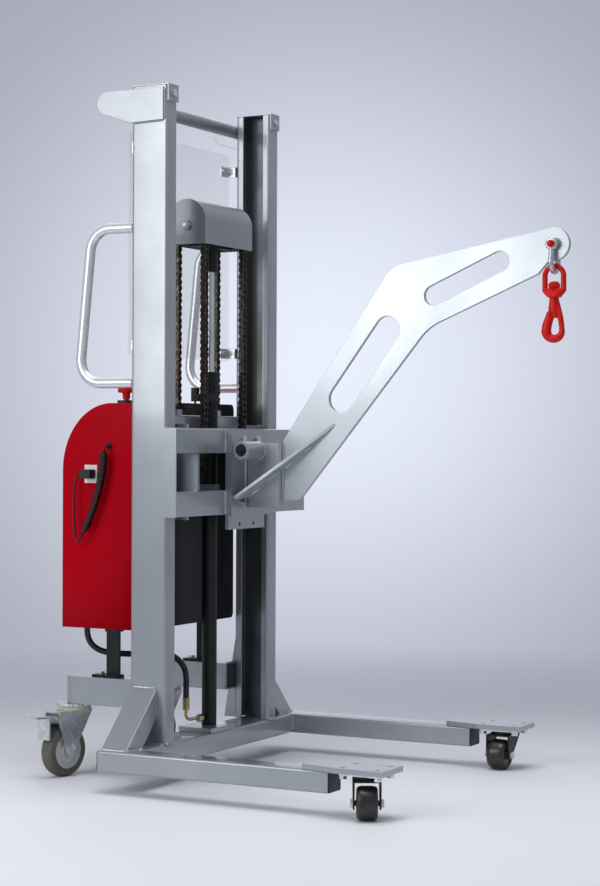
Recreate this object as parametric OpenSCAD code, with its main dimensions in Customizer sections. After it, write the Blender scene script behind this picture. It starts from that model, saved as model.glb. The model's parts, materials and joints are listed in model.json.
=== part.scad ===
// Hand-pushed mast lift with a crane jib: two channel uprights on a wheeled base, a chain-hoisted carriage,
// a plate jib with a swivel hook, and a battery pump unit behind the mast.
// Millimetres, +X forward (towards the jib), +Z up, origin on the floor under the middle of the whole lift.

/* [Mast] */
// Height of the uprights' tops above the floor
mast_top = 1663; // [1600:1:1900]
// Width over the outer faces of the two uprights
mast_w = 547; // [530:1:600]
// Depth of an upright, front to rear
upright_d = 100; // [96:1:110]
// Width of an upright's channel section
upright_w = 46; // [42:1:56]
// Wall of an upright
upright_wall = 5; // [4:0.5:6]
// Lip of an upright's channel
upright_lip = 21; // [16:1:24]
// Outer corner radius of an upright
upright_r = 8; // [6:0.5:10]
// Height of the cap's front tab
cap_tab_h = 38; // [30:1:50]
// Thickness of the cap's strip
cap_t = 3; // [2:0.5:5]
// Thickness of a flag plate
flag_t = 6; // [4:0.5:10]
// Length of a flag plate behind the uprights' front faces
flag_len = 196; // [180:1:230]
// Radius of a flag plate's rear end
flag_r = 28; // [24:1:32]
// Diameter of the top tie tube
tie_d = 34; // [28:1:42]
// Height of the rear cross bar's top face
cross_bar_top = 883; // [875:1:920]
// Height of the rear cross bar
cross_bar_h = 50; // [40:1:60]
// Depth of the rear cross bar
cross_bar_d = 30; // [26:1:30]

/* [Base] */
// Gap between the floor and the legs
leg_clear = 50; // [40:1:60]
// Height of the legs and the cross beam
leg_h = 50; // [45:1:60]
// Width of a leg
leg_w = 60; // [50:1:70]
// Wall of the legs and the cross beam
leg_wall = 4; // [3:0.5:6]
// Width over the two legs
base_w = 842; // [800:1:900]
// Reach of the legs in front of the uprights
leg_reach = 508; // [440:1:560]
// Depth of the cross beam
beam_d = 94; // [92:1:100]
// Width of a brace, front to rear
brace_w = 70; // [50:1:80]
// Height of a brace above the cross beam
brace_h = 132; // [110:1:160]
// Thickness of a brace's tube
brace_t = 50; // [40:1:60]
// Thickness of a front caster plate
caster_plate_t = 12; // [8:1:16]
// Length of a front caster plate
caster_plate_len = 208; // [190:1:240]
// Width of a front caster plate at its front
caster_plate_w = 100; // [90:1:120]
// Bolt spacing of a caster, front to rear
caster_bolt_x = 84; // [76:1:90]
// Bolt spacing of a caster, side to side
caster_bolt_y = 62; // [56:1:70]
// Thread of the caster bolts
caster_bolt_d = 10; // [8:1:12]

/* [Casters] */
// Diameter of a front wheel
front_wheel_d = 75; // [70:1:78]
// Width of a front wheel
front_wheel_w = 48; // [40:1:52]
// Trail of a front caster
front_trail = 26; // [20:1:32]
// Diameter of a rear wheel
rear_wheel_d = 125; // [118:1:130]
// Width of a rear wheel
rear_wheel_w = 38; // [32:1:42]
// Trail of a rear caster
rear_trail = 38; // [32:1:44]
// Diameter of the wheel axles
wheel_axle_d = 12; // [10:1:14]
// Diameter of the caster king pins
king_pin_d = 18; // [14:1:22]
// Thickness of a yoke's sheet
yoke_t = 4; // [3:0.5:5]

/* [Handles and guard] */
// Diameter of the handle tube
handle_d = 25; // [22:1:30]
// Wall of the handle tube
handle_wall = 2.5; // [2:0.5:4]
// Height of a handle's upper run
handle_top = 1330; // [1280:1:1400]
// Height of a handle's lower run
handle_bottom = 958; // [930:1:1000]
// Reach of a handle's top behind the uprights
handle_reach = 124; // [110:1:150]
// Extra reach of a handle's foot
handle_lean = 37; // [0:1:60]
// Bend radius of a handle
handle_bend = 57; // [45:1:60]
// Thickness of the guard panel
guard_t = 5; // [3:0.5:8]
// Width of the guard panel
guard_w = 480; // [460:1:500]
// Lower edge of the guard panel
guard_bottom = 1027; // [1010:1:1060]
// Upper edge of the guard panel
guard_top = 1566; // [1500:1:1580]
// Gap between the uprights and the guard panel
guard_gap = 27; // [20:1:40]
// Width of a guard bracket's strap
guard_strap_w = 26; // [20:1:32]
// Thickness of a guard bracket's strap
guard_strap_t = 3; // [2:0.5:4]

/* [Rear arms and housing] */
// Height of the rear arms' underside
arm_bottom = 176; // [170:1:190]
// Height of a rear arm
arm_h = 68; // [60:1:80]
// Width of a rear arm
arm_w = 60; // [56:1:66]
// Distance between the rear arms' inner faces
arm_gap = 366; // [340:1:380]
// Length of a rear arm behind the uprights
arm_len = 215; // [205:1:240]
// Wall of a rear arm
arm_wall = 4; // [3:0.5:6]
// Height of the gusset at an upright's foot
gusset_h = 220; // [190:1:240]
// Depth of that gusset
gusset_d = 35; // [30:1:45]
// Thickness of that gusset
gusset_t = 8; // [6:1:10]
// Width of the housing
body_w = 446; // [430:1:452]
// Height of the housing's underside
body_bottom = 361; // [340:1:380]
// Height of the housing's top
body_top = 911; // [880:1:940]
// Distance from the uprights' front faces to the housing's rear
body_rear = 332; // [320:1:350]
// Length of the housing's flat top
body_flat = 85; // [80:1:120]
// Height of the housing's curved shoulder
body_shoulder = 164; // [120:1:200]
// Sheet thickness of the housing
body_wall = 2; // [1.5:0.5:3]
// Thickness of the chassis sheet
chassis_t = 3; // [2:0.5:5]
// Width of a housing bracket
bracket_w = 38; // [30:1:46]
// Thickness of a housing bracket
bracket_t = 6; // [4:0.5:8]

/* [Lift cylinder and chains] */
// Distance of the cylinder's axis behind the uprights' front faces
cyl_back = 41.5; // [40:0.5:44]
// Outer diameter of the cylinder tube
cyl_d = 37; // [35:0.5:40]
// Bore of the cylinder tube
cyl_bore = 32; // [30:0.5:34]
// Top of the cylinder tube
cyl_top = 960; // [940:1:980]
// Thickness of the cylinder's foot plate
cyl_foot_t = 12; // [8:1:16]
// Diameter of the gland nut
gland_d = 42; // [41:0.5:46]
// Height of the gland nut above the tube's end
gland_h = 31; // [24:1:40]
// Diameter of the piston rod
rod_d = 20; // [18:0.5:24]
// Height of the piston at rest
piston_z = 395; // [390:1:420]
// Height of the chain's link plates
chain_h = 15; // [13:0.5:15]
// Width of the chain over its pins
chain_w = 16.4; // [15:0.2:17]
// Distance between the two chains
chain_gap = 188; // [180:1:192]
// Height of the sprocket axle
axle_z = 1346; // [1330:1:1360]
// Diameter of the sprocket axle
axle_d = 20; // [16:1:22]
// Width of the sprocket cover
cover_w = 232; // [226:1:240]
// Depth of the sprocket cover
cover_d = 107; // [104:1:110]
// Lower edge of the sprocket cover
cover_bottom = 1300; // [1290:1:1304]
// Sheet thickness of the sprocket cover
cover_t = 3; // [2:0.5:3]
// Diameter of the crosshead's boss
boss_d = 32; // [30:1:40]
// Length of the crosshead's boss
boss_h = 60; // [50:1:70]

/* [Carriage] */
// Height of the lower bar's underside
carriage_z = 640; // [630:1:660]
// Height of a carriage bar
bar_h = 60; // [50:1:60]
// Depth of a carriage bar
bar_d = 40; // [36:1:50]
// Wall of a carriage bar
bar_wall = 4; // [3:0.5:5]
// Length of a carriage bar
bar_len = 632; // [610:1:660]
// Open height between the carriage bars
bar_gap = 90; // [80:1:100]
// Gap between the uprights' front faces and the bars
bar_x = 15; // [13:1:20]
// Thickness of an end plate
end_plate_t = 3; // [3:0.5:8]
// Thickness of a roller plate
roller_plate_t = 10; // [8:1:12]
// Distance between the roller plates' outer faces
roller_plate_span = 410; // [404:1:420]
// Width of a carriage roller
roller_w = 32; // [28:1:34]
// Distance between upper and lower rollers
roller_gap_z = 154; // [130:1:170]
// Diameter of the roller pins
roller_pin_d = 24; // [20:1:24]
// Thickness of the mount plate
mount_plate_t = 9; // [8:1:12]
// Width of the mount plate
mount_plate_w = 180; // [170:1:200]
// Drop of the mount plate below the lower bar
mount_plate_drop = 36; // [24:1:40]

/* [Jib] */
// Thickness of the jib's base plate
jib_base_t = 9; // [8:1:12]
// Lower edge of the base plate above the mount plate's
jib_base_up = 33; // [28:1:40]
// Height of the base plate
jib_base_h = 200; // [194:1:206]
// Depth of the jib post
post_d = 96; // [90:1:110]
// Width of the jib post
post_w = 44; // [40:1:50]
// Height of the jib post
post_h = 158; // [150:1:160]
// Wall of the jib post
post_wall = 5; // [4:0.5:6]
// Thickness of the jib plate
jib_t = 12; // [10:1:14]
// Reach of the jib's eye in front of the uprights
jib_reach = 868; // [840:1:960]
// Height of the jib's eye at rest
jib_eye_z = 1271; // [1255:1:1290]
// Radius of the jib's tip
jib_tip_r = 38; // [34:1:42]
// Height of the jib's knee above its foot
jib_knee_up = 561; // [540:1:580]
// Forward run of the jib's knee from its foot
jib_knee_out = 290; // [270:1:310]
// Width of the lower slot
slot_low_w = 66; // [50:1:70]
// Width of the upper slot
slot_high_w = 48; // [40:1:52]
// Thickness of a rib
rib_t = 8; // [6:1:10]
// Outer diameter of the pin tube
pin_tube_d = 45; // [40:1:48]
// Bore of the pin tube
pin_bore = 30; // [24:1:34]
// Length of the pin tube
pin_tube_len = 81; // [60:1:90]
// Thread of the jib bolts
jib_bolt_d = 12; // [10:1:14]

/* [Shackle and hook] */
// Diameter of the shackle pin
pin_d = 16; // [14:0.5:18]
// Bar diameter of the shackle's bow
bow_d = 13; // [12:0.5:14]
// Length from the pin to the bow's outer end
bow_len = 69; // [66:1:74]
// Inside width of the bow at its widest
bow_w = 32; // [30:1:36]
// Inside width between the shackle's ears
ear_gap = 21; // [17:0.5:24]
// Bar diameter of the swivel eye
eye_bar_d = 12; // [11:0.5:13]
// Inside width of the swivel eye
eye_w = 33; // [32:1:38]
// Inside length of the swivel eye
eye_len = 44; // [42:1:52]
// Diameter of the hook's shank
shank_d = 16; // [14:0.5:18]
// Length of the hook below the swivel eye's boss
hook_len = 104; // [100:1:116]
// Bar diameter of the hook's bowl
hook_bar_d = 19; // [17:0.5:20]
// Radius of the hook's bowl, to the bar's middle
hook_r = 20; // [19:0.5:23]

/* [Clearances] */
// Radial clearance of a running fit
run_fit = 0.05; // [0.02:0.01:0.1]
// Clearance between pieces that move past each other
move_gap = 0.5; // [0.4:0.1:1]

/* [Hidden] */
$fn = 64;
NODES = [
    "base_cross_beam", "base_legs", "leg_plugs", "caster_plates", "mast_braces", "uprights", "top_caps",
    "frame_bolts", "flag_plates", "top_tie_tube", "rear_cross_bar", "handles", "guard_panel",
    "guard_brackets",
    "rear_arms", "housing_brackets", "housing_shell", "housing_chassis", "battery", "power_unit",
    "panel_fittings", "curly_lead", "charge_plug", "hydraulic_hose", "hose_fittings", "cylinder_tube",
    "cylinder_gland", "lift_rocker", "chain_rear", "piston_rod", "crosshead", "sprocket_cover", "chain_wrap",
    "sprockets", "carriage_bars", "roller_plates", "mount_plate", "jib_base_plate", "jib_post", "jib_plate",
    "jib_ribs", "jib_bolts", "chain_front", "upper_rollers", "lower_rollers", "yoke_front_right",
    "yoke_front_left", "yoke_rear_right", "yoke_rear_left", "wheel_front_right", "wheel_front_left",
    "wheel_rear_right", "wheel_rear_left", "pedal_right", "pedal_left", "shackle", "swivel_eye", "hook_body",
    "hook_jaw", "stop_button"
];
node = "all";

// Whether a node is asked for
function wanted(name) = node == "all" || node == name;

// Overall placing: everything below is drawn with x = 0 on the uprights' front faces
rear_caster_x = -upright_d - arm_len + arm_w / 2 - 15;
lift_front = jib_reach + jib_tip_r;
lift_rear = -max(body_rear, -rear_caster_x + 46);
mast_x = -(lift_front + lift_rear) / 2;

// Base and mast, derived
deck_z = leg_clear + leg_h;
mast_y = mast_w / 2;
channel_y = mast_y - upright_w;
leg_y = base_w / 2 - leg_w / 2;
leg_corner_r = 6;
weld_plate_t = 2.5;
plug_depth = 14;
plug_gap = 0.2;
caster_plate_x0 = leg_reach - 64;
caster_plate_x1 = caster_plate_x0 + caster_plate_len;
front_caster_x = caster_plate_x1 - caster_plate_w / 2 - 14;
caster_plate_flat = 10;
nut_h = 8;
head_h = 7;
cap_bolt_d = 10;
tie_gap = 1;
tie_x = -upright_d - tie_d / 2 - tie_gap;
flag_top = mast_top - 6;
flag_h = 77;
tie_z = flag_top - flag_r;
flag_front = -9;
guard_y = guard_w / 2;
bracket_zs = [guard_bottom + 20, guard_top - 46];
guard_screw_d = 8;
guard_screw_in = 34;
guard_front = -upright_d - guard_gap;
guard_screw_y = guard_y - guard_screw_in;
handle_y = mast_y - handle_d / 2 - 6;
cross_bar_x = -upright_d + 3;
screw_head_h = 4;

// Rear arms and housing, derived
arm_y = arm_gap / 2 + arm_w / 2;
gusset_y = arm_gap / 2 + arm_w - gusset_t;
arm_top = arm_bottom + arm_h;
housing_front = -upright_d - 5;
housing_y = body_w / 2;
bracket_x = -upright_d - 86;
bracket_foot = 70;
bracket_bolt_d = 10;
console_r = 14;
housing_screw_zs = [body_bottom + 55, body_bottom + 280, body_top - 60];
stop_x = housing_front - 66;
stop_y = -housing_y + 40;
stop_stem_d = 14;
stop_neck_d = 19;
stop_cap_d = 42;
stop_cap_h = 13;
stop_h = 39;
stop_travel = 4;
stop_collar_h = 7;
rocker_x = housing_front - 42;
rocker_size = [34, 26, 16];
rocker_pin_d = 4;
battery_size = [165, 175, 190];
battery_x = -body_rear + body_wall + 12;
battery_y = -housing_y + body_wall + 12;
tank_size = [130, 160, 120];
motor_d = 64;
motor_h = 170;
pump_size = [70, 100, 60];
charger_size = [45, 150, 170];

// Lift, derived
cyl_x = -cyl_back;
chain_pitch = 15.875;
sprocket_teeth = 15;
sprocket_r = chain_pitch / sin(180 / sprocket_teeth) / 2;
sprocket_t = 9;
hub_r = 17;
roller_bore_d = 10.2;
chain_y = chain_gap / 2;
chain_front_x = cyl_x + sprocket_r;
chain_rear_x = cyl_x - sprocket_r;
chain_plate_t = 3;
chain_lug_h = 14;
chain_slot_h = sprocket_r * 0.9;
link_steps = 6;
cover_r = cover_d / 2;
cover_x = cyl_x;
cover_shoulder = axle_z + 12;
boss_top = cover_bottom;
boss_z = boss_top - boss_h;
rod_socket = 30;
foot_w = 120;
port_z = deck_z + 32;

// Carriage and jib, derived
upper_bar_z = carriage_z + bar_h + bar_gap;
carriage_top = upper_bar_z + bar_h;
bar_front = bar_x + bar_d;
roller_d = upright_d - 2 * upright_wall - 2 * move_gap;
roller_x = -upright_d / 2;
roller_mid_z = (carriage_z + carriage_top) / 2;
roller_zs = [roller_mid_z - roller_gap_z / 2, roller_mid_z + roller_gap_z / 2];
roller_plate_y = roller_plate_span / 2 - roller_plate_t / 2;
roller_y = mast_y - upright_wall - move_gap - roller_w / 2;
mount_z = carriage_z - mount_plate_drop;
base_z = mount_z + jib_base_up;
base_x = bar_front + mount_plate_t;
post_x = base_x + jib_base_t;
post_z = base_z + 20;
post_front = post_x + post_d;
post_top = post_z + post_h;
post_r = 8;
pin_tube_back = 9.5;
pin_tube_up = 4.5;
pin_tube_x = post_x + pin_tube_d / 2 + pin_tube_back;
pin_tube_z = post_top - pin_tube_d / 2 + pin_tube_up;
jib_bolt_y = post_w / 2 + 12.5;
jib_bolt_zs = [base_z + 28, base_z + jib_base_h - 14];

// Points of the jib's outline, in x and z
jib_foot = [post_front, post_z + 18];
jib_back = [post_front, post_top + 7];
jib_knee = jib_foot + [jib_knee_out, jib_knee_up];
jib_eye = [jib_reach, jib_eye_z];
jib_neck = jib_eye + [-38, -67];
jib_bend = jib_knee + [96, -148];
jib_heel = jib_foot + [44, 0];
knee_r = 65;
bend_r = 120;
heel_r = 35;
slot_low = [jib_foot + [158, 247], jib_foot + [280, 410]];
slot_high = [jib_eye + [-299, -108], jib_eye + [-132, -34]];
rib_root_y = 64;
rib_rise = 182;
rib_past = 142;
rib_up = 22;
rib_run = jib_foot[0] - post_x + rib_past;
rib_angle = atan(rib_rise / rib_run);
rib_z = post_z + rib_up;

// Shackle and hook, derived
ear_w = 12;
ear_d = 30;
bow_mid_r = (bow_w + bow_d) / 2;
bow_mid_z = jib_eye_z - bow_len + bow_d / 2 + bow_mid_r;
bow_seat_z = jib_eye_z - bow_len + bow_d;
ear_mid = (ear_gap + ear_w) / 2;
eye_gap = 0.4;
eye_mid_r = (eye_w + eye_bar_d) / 2;
eye_top_mid_z = bow_seat_z + eye_gap + eye_bar_d / 2 - eye_mid_r;
eye_boss_h = 22;
eye_boss_top = bow_seat_z + eye_gap - eye_len;
eye_boss_bottom = eye_boss_top - eye_boss_h;
eye_boss_d = 30;
shank_head_h = 12;
shank_head_d = 24;
hook_top = eye_boss_bottom - move_gap;
hook_bottom = hook_top - hook_len;
bowl_z = hook_bottom + hook_bar_d / 2 + hook_r;
jaw_pin_d = 9;
jaw_pin_x = jib_reach - 8;
jaw_pin_z = hook_top - 34;
jaw_cheek = 8;

// Points that a lead or a hose follows, in x, y and z
hose_d = 15;
hose_route = [
    [-285, -180, 361], [-285, -180, 346], [-281, -178, 327], [-270, -173, 311], [-252, -164, 300],
    [-225, -151, 295], [-190, -134, 293], [-152, -116, 294], [-122, -102, 296], [-99, -90, 291],
    [-80, -82, 278], [-68, -76, 258], [-64, -74, 234], [-64, -74, 210], [-64, -74, 186]
];
hose_sides = 10;
lead_d = 5.2;
lead_sides = 6;
curl_d = 21;
curls = 34;
curl_steps = 8;
gland_out = 8;
socket_t = 3;
lead_exit = [-193, -housing_y - gland_out, 806];
lead_start = [
    lead_exit, lead_exit + [0, -6, 0], [-193.4, -housing_y - 19, 803.6], [-194.2, -housing_y - 21.6, 799]
];
coil_top = [-195.4, -housing_y - 22, 793];
coil_end = [-254, -housing_y - 22, 596];
coil_bow = [56, 0, 16];
plug_z = 738;
plug_x = -246;
plug_size = [28, 22, 22];
plug_out = 26;
lead_finish = [
    [-260, -housing_y - 22, 583], [-266, -housing_y - 22, 575], [-272, -housing_y - 22, 574],
    [-277, -housing_y - 22, 581], [-280, -housing_y - 22, 602], [-282, -housing_y - 21, 632],
    [-284, -housing_y - 20, 664], [-284, -housing_y - 18, 692], [-283, -housing_y - 16, 713],
    [-279, -housing_y - 15, 728], [-273, -housing_y - 15, 736], [-267, -housing_y - 15, 738]
];

// Casters: place on the lift, trail direction, and sizes
front_plate_t = 5;
rear_plate_t = 6;
front_head_z = deck_z - front_plate_t;
rear_head_z = arm_bottom - rear_plate_t;
swivel_gap = 0.3;
caster_y = leg_y;
trail_front_right = -62;
trail_front_left = -90;
trail_rear = -100;
front_race_h = 8;
rear_race_h = 9;
front_race_d = 62;
rear_race_d = 82;
rear_ring_d = 92;
pedal_x = 66;
pedal_z = rear_head_z - swivel_gap - rear_race_h - yoke_t - 10;
pedal_pin_d = 8;
front_yoke_back = 31;
front_yoke_ahead = 40;
rear_yoke_back = 36;
rear_yoke_ahead = 76;

// A point on the arc of radius r about c at angle a
function on_arc(c, r, a) = c + r * [cos(a), sin(a)];

// The points of an arc of radius r about c, from angle a0 to a1
function arc_points(c, r, a0, a1, n = 12) = [for (i = [0:n]) on_arc(c, r, a0 + (a1 - a0) * i / n)];

// The unit vector along v
function unit(v) = v / norm(v);

// The angle of the vector v in the plane
function heading(v) = atan2(v[1], v[0]);

// The angle b brought within half a turn of a
function near_angle(a, b) = b - 360 * round((b - a) / 360);

// Half of the corner angle at b, between a and c
function half_corner(a, b, c) = acos(unit(a - b) * unit(c - b)) / 2;

// The centre of the circle of radius r that rounds the corner at b
function corner_centre(a, b, c, r) =
    b + unit(unit(a - b) + unit(c - b)) * r / sin(half_corner(a, b, c));

// The distance from the corner at b to where its rounding starts
function corner_run(a, b, c, r) = r / tan(half_corner(a, b, c));

// The points that round the corner at b, between a and c, with radius r
function corner(a, b, c, r, n = 10) =
    let (m = corner_centre(a, b, c, r))
    let (t = corner_run(a, b, c, r))
    let (a0 = heading(b + unit(a - b) * t - m))
    let (a1 = near_angle(a0, heading(b + unit(c - b) * t - m)))
    arc_points(m, r, a0, a1, n);

// The same shape on the near side and mirrored on the far side
module both() {
    children();
    mirror([0, 1, 0]) children();
}

// Puts a shape drawn from the uprights' front faces into the lift's frame
module on_mast() {
    translate([mast_x, 0, 0]) children();
}

// A flat rectangle with round corners, centred
module round_rect(w, h, r) {
    square([w - 2 * r, h], center = true);
    square([w, h - 2 * r], center = true);
    for (x = [-1, 1], y = [-1, 1]) translate([x * (w / 2 - r), y * (h / 2 - r)]) circle(r, $fn = 32);
}

// The section of a rectangular tube, centred
module tube_section(w, h, wall, r) {
    difference() {
        round_rect(w, h, r);
        round_rect(w - 2 * wall, h - 2 * wall, r - wall + 0.5);
    }
}

// A rectangular tube along x: y is its width and z its height
module tube_x(x0, x1, w, h, wall, r) {
    translate([x0, 0, 0]) rotate([90, 0, 90]) linear_extrude(x1 - x0) tube_section(w, h, wall, r);
}

// A rectangular tube along y: x is its depth and z its height
module tube_y(len, d, h, wall, r) {
    rotate([90, 0, 0]) linear_extrude(len, center = true) tube_section(d, h, wall, r);
}

// A plate that stands in the x-z plane, from the outline's points, centred on y = 0
module plate_xz(t) {
    rotate([90, 0, 0]) linear_extrude(t, center = true) children();
}

// A round bar along points in the x-z plane, with each corner bent to radius r
module bent_bar(points, r, d) {
    last = len(points) - 1;
    rotate([90, 0, 0]) for (i = [0:last - 1]) {
        a = points[i];
        b = points[i + 1];
        cut0 = i == 0 ? 0 : corner_run(points[i - 1], a, b, r);
        cut1 = i + 1 == last ? 0 : corner_run(a, b, points[i + 2], r);
        translate(concat(a + unit(b - a) * cut0, [0])) rotate([0, 90, heading(b - a)])
            cylinder(d = d, h = norm(b - a) - cut0 - cut1, $fn = 32);
        if (i + 1 < last) {
            c = points[i + 2];
            m = corner_centre(a, b, c, r);
            a0 = heading(b + unit(a - b) * cut1 - m);
            a1 = near_angle(a0, heading(b + unit(c - b) * cut1 - m));
            translate(concat(m, [0])) rotate(min(a0, a1)) rotate_extrude(angle = abs(a1 - a0))
                translate([r, 0]) circle(d = d, $fn = 32);
        }
    }
}

// A hexagonal bolt head or nut along +z
module hex(across, h) {
    cylinder(d = across / cos(30), h = h, $fn = 6);
}

// The direction along a path at point i
function along(p, i) = unit(p[min(i + 1, len(p) - 1)] - p[max(i - 1, 0)]);

// A side direction at each point of a path, with as little twist as possible
function sides_along(p) = [
    for (
        i = 0, s = unit(cross(along(p, 0), abs(along(p, 0)[2]) < 0.9 ? [0, 0, 1] : [1, 0, 0]));
        i < len(p);
        i = i + 1, s = i < len(p) ? unit(s - along(p, i) * (s * along(p, i))) : s
    ) s
];

// The corners of n-sided rings of diameter d along the path p
function rings_along(p, d, n) =
    let (s = sides_along(p))
    [
        for (i = [0:len(p) - 1])
        let (v = cross(along(p, i), s[i]))
        for (k = [0:n - 1]) p[i] + d / 2 * (s[i] * cos(360 * k / n) + v * sin(360 * k / n))
    ];

// The triangles of the wall between rings of n corners, for a path of m points
function walls_along(m, n) = [
    for (i = [0:m - 2], k = [0:n - 1])
    let (a = i * n + k)
    let (b = i * n + (k + 1) % n)
    each [[a, a + n, b], [b, a + n, b + n]]
];

// A round bar of n sides and diameter d swept along the path p, with flat ends
module swept_tube(p, d, n) {
    last = (len(p) - 1) * n;
    ends = [for (k = [1:n - 2]) each [[0, k, k + 1], [last, last + k + 1, last + k]]];
    polyhedron(rings_along(p, d, n), concat(walls_along(len(p), n), ends));
}

// The same with a bore through it
module swept_pipe(p, d, bore, n) {
    m = len(p) * n;
    last = m - n;
    walls = walls_along(len(p), n);
    inner = [for (f = walls) [f[0] + m, f[2] + m, f[1] + m]];
    ends = [
        for (k = [0:n - 1])
        let (j = (k + 1) % n)
        each [
            [k, j, j + m], [k, j + m, k + m],
            [last + k, last + j + m, last + j], [last + k, last + k + m, last + j + m]
        ]
    ];
    polyhedron(concat(rings_along(p, d, n), rings_along(p, bore, n)), concat(walls, inner, ends));
}

// The curly lead's path: out of its gland, down the coil, and back up to the plug
coil_axis = unit(coil_end - coil_top);
coil_side = [0, -1, 0];
coil_over = cross(coil_axis, coil_side);
coil_points = curls * curl_steps;
coil_r = (curl_d - lead_d) / 2;

// Share of the coil's radius at point i: it opens and closes over one turn
function coil_open(i) = let (t = min(1, i / curl_steps, (coil_points - i) / curl_steps)) t * t * (3 - 2 * t);

function coil_path() = [
    for (i = [0:coil_points])
    let (a = 360 * i / curl_steps, t = i / coil_points)
    coil_top + (coil_end - coil_top) * t + coil_bow * t * (1 - t)
        + coil_r * coil_open(i) * (coil_side * cos(a) + coil_over * sin(a))
];
lead_path = concat(lead_start, coil_path(), lead_finish);

// The least gap between stretches of the lead half a turn or more apart
lead_gap = min([
    for (i = [0:len(lead_path) - 1], j = [i + curl_steps - 2:1:len(lead_path) - 1])
    norm(lead_path[i] - lead_path[j])
]) - lead_d;
lead_length = let (p = lead_path) [for (i = [1:len(p) - 1]) norm(p[i] - p[i - 1])];
function total(v, i = 0) = i < len(v) ? v[i] + total(v, i + 1) : 0;
echo(lead_least_gap_mm = lead_gap, lead_length_mm = total(lead_length));

// Colours of the finishes
silver_paint = "#9aa1a8";
jib_paint = "#c3c9cf";
grey_paint = "#7d8288";
black_paint = "#1b1c1f";
red_paint = "#a80a1e";
bright_red = "#e0312a";
zinc = "#b9bcb8";
chrome = "#d5d8dc";
dark_steel = "#4a4642";
black_plastic = "#202124";
clear_plastic = "#d8e4ec80";
white_plastic = "#e8e8e4";
rubber_grey = "#6b6a66";
brass = "#b48a3c";

// The cross beam between the legs
module base_cross_beam() {
    color(silver_paint) on_mast() translate([-beam_d / 2, 0, leg_clear + leg_h / 2])
        tube_y(base_w - 2 * leg_w, beam_d, leg_h, leg_wall, leg_corner_r);
}

// The two legs
module base_legs() {
    color(silver_paint) on_mast() both() translate([0, leg_y, leg_clear + leg_h / 2])
        tube_x(-beam_d, leg_reach, leg_w, leg_h, leg_wall, leg_corner_r);
}

// One end plug, with its flange at x = 0 and its body towards -x
module leg_plug() {
    bore = 2 * (leg_wall + plug_gap);
    translate([-plug_depth, 0, 0]) rotate([90, 0, 90]) linear_extrude(plug_depth)
        round_rect(leg_w - bore, leg_h - bore, leg_corner_r - leg_wall);
    rotate([90, 0, 90]) linear_extrude(weld_plate_t) round_rect(leg_w - 2, leg_h - 2, leg_corner_r - 1);
}

// The four plastic plugs in the ends of the legs
module leg_plugs() {
    color(black_plastic) on_mast() both() translate([0, leg_y, leg_clear + leg_h / 2]) {
        translate([leg_reach, 0, 0]) leg_plug();
        translate([-beam_d, 0, 0]) rotate(180) leg_plug();
    }
}

// Children at the four bolts of a front caster
module caster_bolts_at() {
    for (x = [-1, 1], y = [-1, 1])
        translate([front_caster_x + x * caster_bolt_x / 2, caster_y + y * caster_bolt_y / 2, 0]) children();
}

// The tapered plate on the front of a leg
module front_caster_plate() {
    w0 = leg_w / 2;
    w1 = caster_plate_w / 2;
    x2 = front_caster_x - caster_bolt_x / 2 - caster_plate_flat;
    difference() {
        translate([0, caster_y, deck_z]) linear_extrude(caster_plate_t) polygon([
            [caster_plate_x0, -w0], [x2, -w1], [caster_plate_x1, -w1],
            [caster_plate_x1, w1], [x2, w1], [caster_plate_x0, w0]
        ]);
        caster_bolts_at() translate([0, 0, deck_z - 1])
            cylinder(d = caster_bolt_d + 1, h = caster_plate_t + 2);
    }
}

// The fixed head of a front caster: its top plate and king pin
module front_caster_head() {
    margin = caster_bolt_d + 8;
    difference() {
        translate([front_caster_x, caster_y, deck_z - front_plate_t]) linear_extrude(front_plate_t)
            round_rect(caster_bolt_x + margin, caster_bolt_y + margin, 6);
        caster_bolts_at() translate([0, 0, deck_z - front_plate_t - 1])
            cylinder(d = caster_bolt_d + 1, h = front_plate_t + 2);
    }
    king_pin(front_caster_x, caster_y, front_head_z, front_race_h);
}

// The fixed head of a rear caster: a toothed ring for the direction lock, and the king pin
module rear_caster_head() {
    teeth = 30;
    translate([rear_caster_x, arm_y, rear_head_z]) difference() {
        cylinder(d = rear_ring_d, h = rear_plate_t);
        for (i = [0:teeth - 1]) rotate(360 / teeth * i) translate([rear_ring_d / 2, 0, -1])
            cylinder(d = 4, h = rear_plate_t + 2, $fn = 16);
    }
    king_pin(rear_caster_x, arm_y, rear_head_z, rear_race_h);
}

// A king pin below a caster's head
module king_pin(x, y, z, race_h) {
    h = swivel_gap + race_h + yoke_t;
    translate([x, y, z - h]) cylinder(d = king_pin_d, h = h);
}

// The front caster plates and the fixed heads of all four casters
module caster_plates() {
    color(silver_paint) on_mast() both() front_caster_plate();
    color(zinc) on_mast() both() {
        front_caster_head();
        rear_caster_head();
    }
}

// The corners of a brace's slanted tube: drawn in by inset, longer by over
function brace_outline(inset, over) =
    let (mid = brace_h - brace_t / sqrt(2))
    let (s = (brace_t / 2 - inset) * sqrt(2))
    [
        [mast_y - over, deck_z + mid + s + over], [mast_y + mid + s + over, deck_z - over],
        [mast_y + mid - s + over, deck_z - over], [mast_y - over, deck_z + mid - s + over]
    ];

// The slanted tubes from the uprights to the legs
module mast_braces() {
    x1 = -24;
    color(silver_paint) on_mast() both() difference() {
        translate([x1 - brace_w, 0, 0]) rotate([90, 0, 90]) linear_extrude(brace_w)
            polygon(brace_outline(0, 0));
        translate([x1 - brace_w + leg_wall, 0, 0]) rotate([90, 0, 90]) linear_extrude(brace_w - 2 * leg_wall)
            polygon(brace_outline(leg_wall, 1));
    }
}

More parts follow.
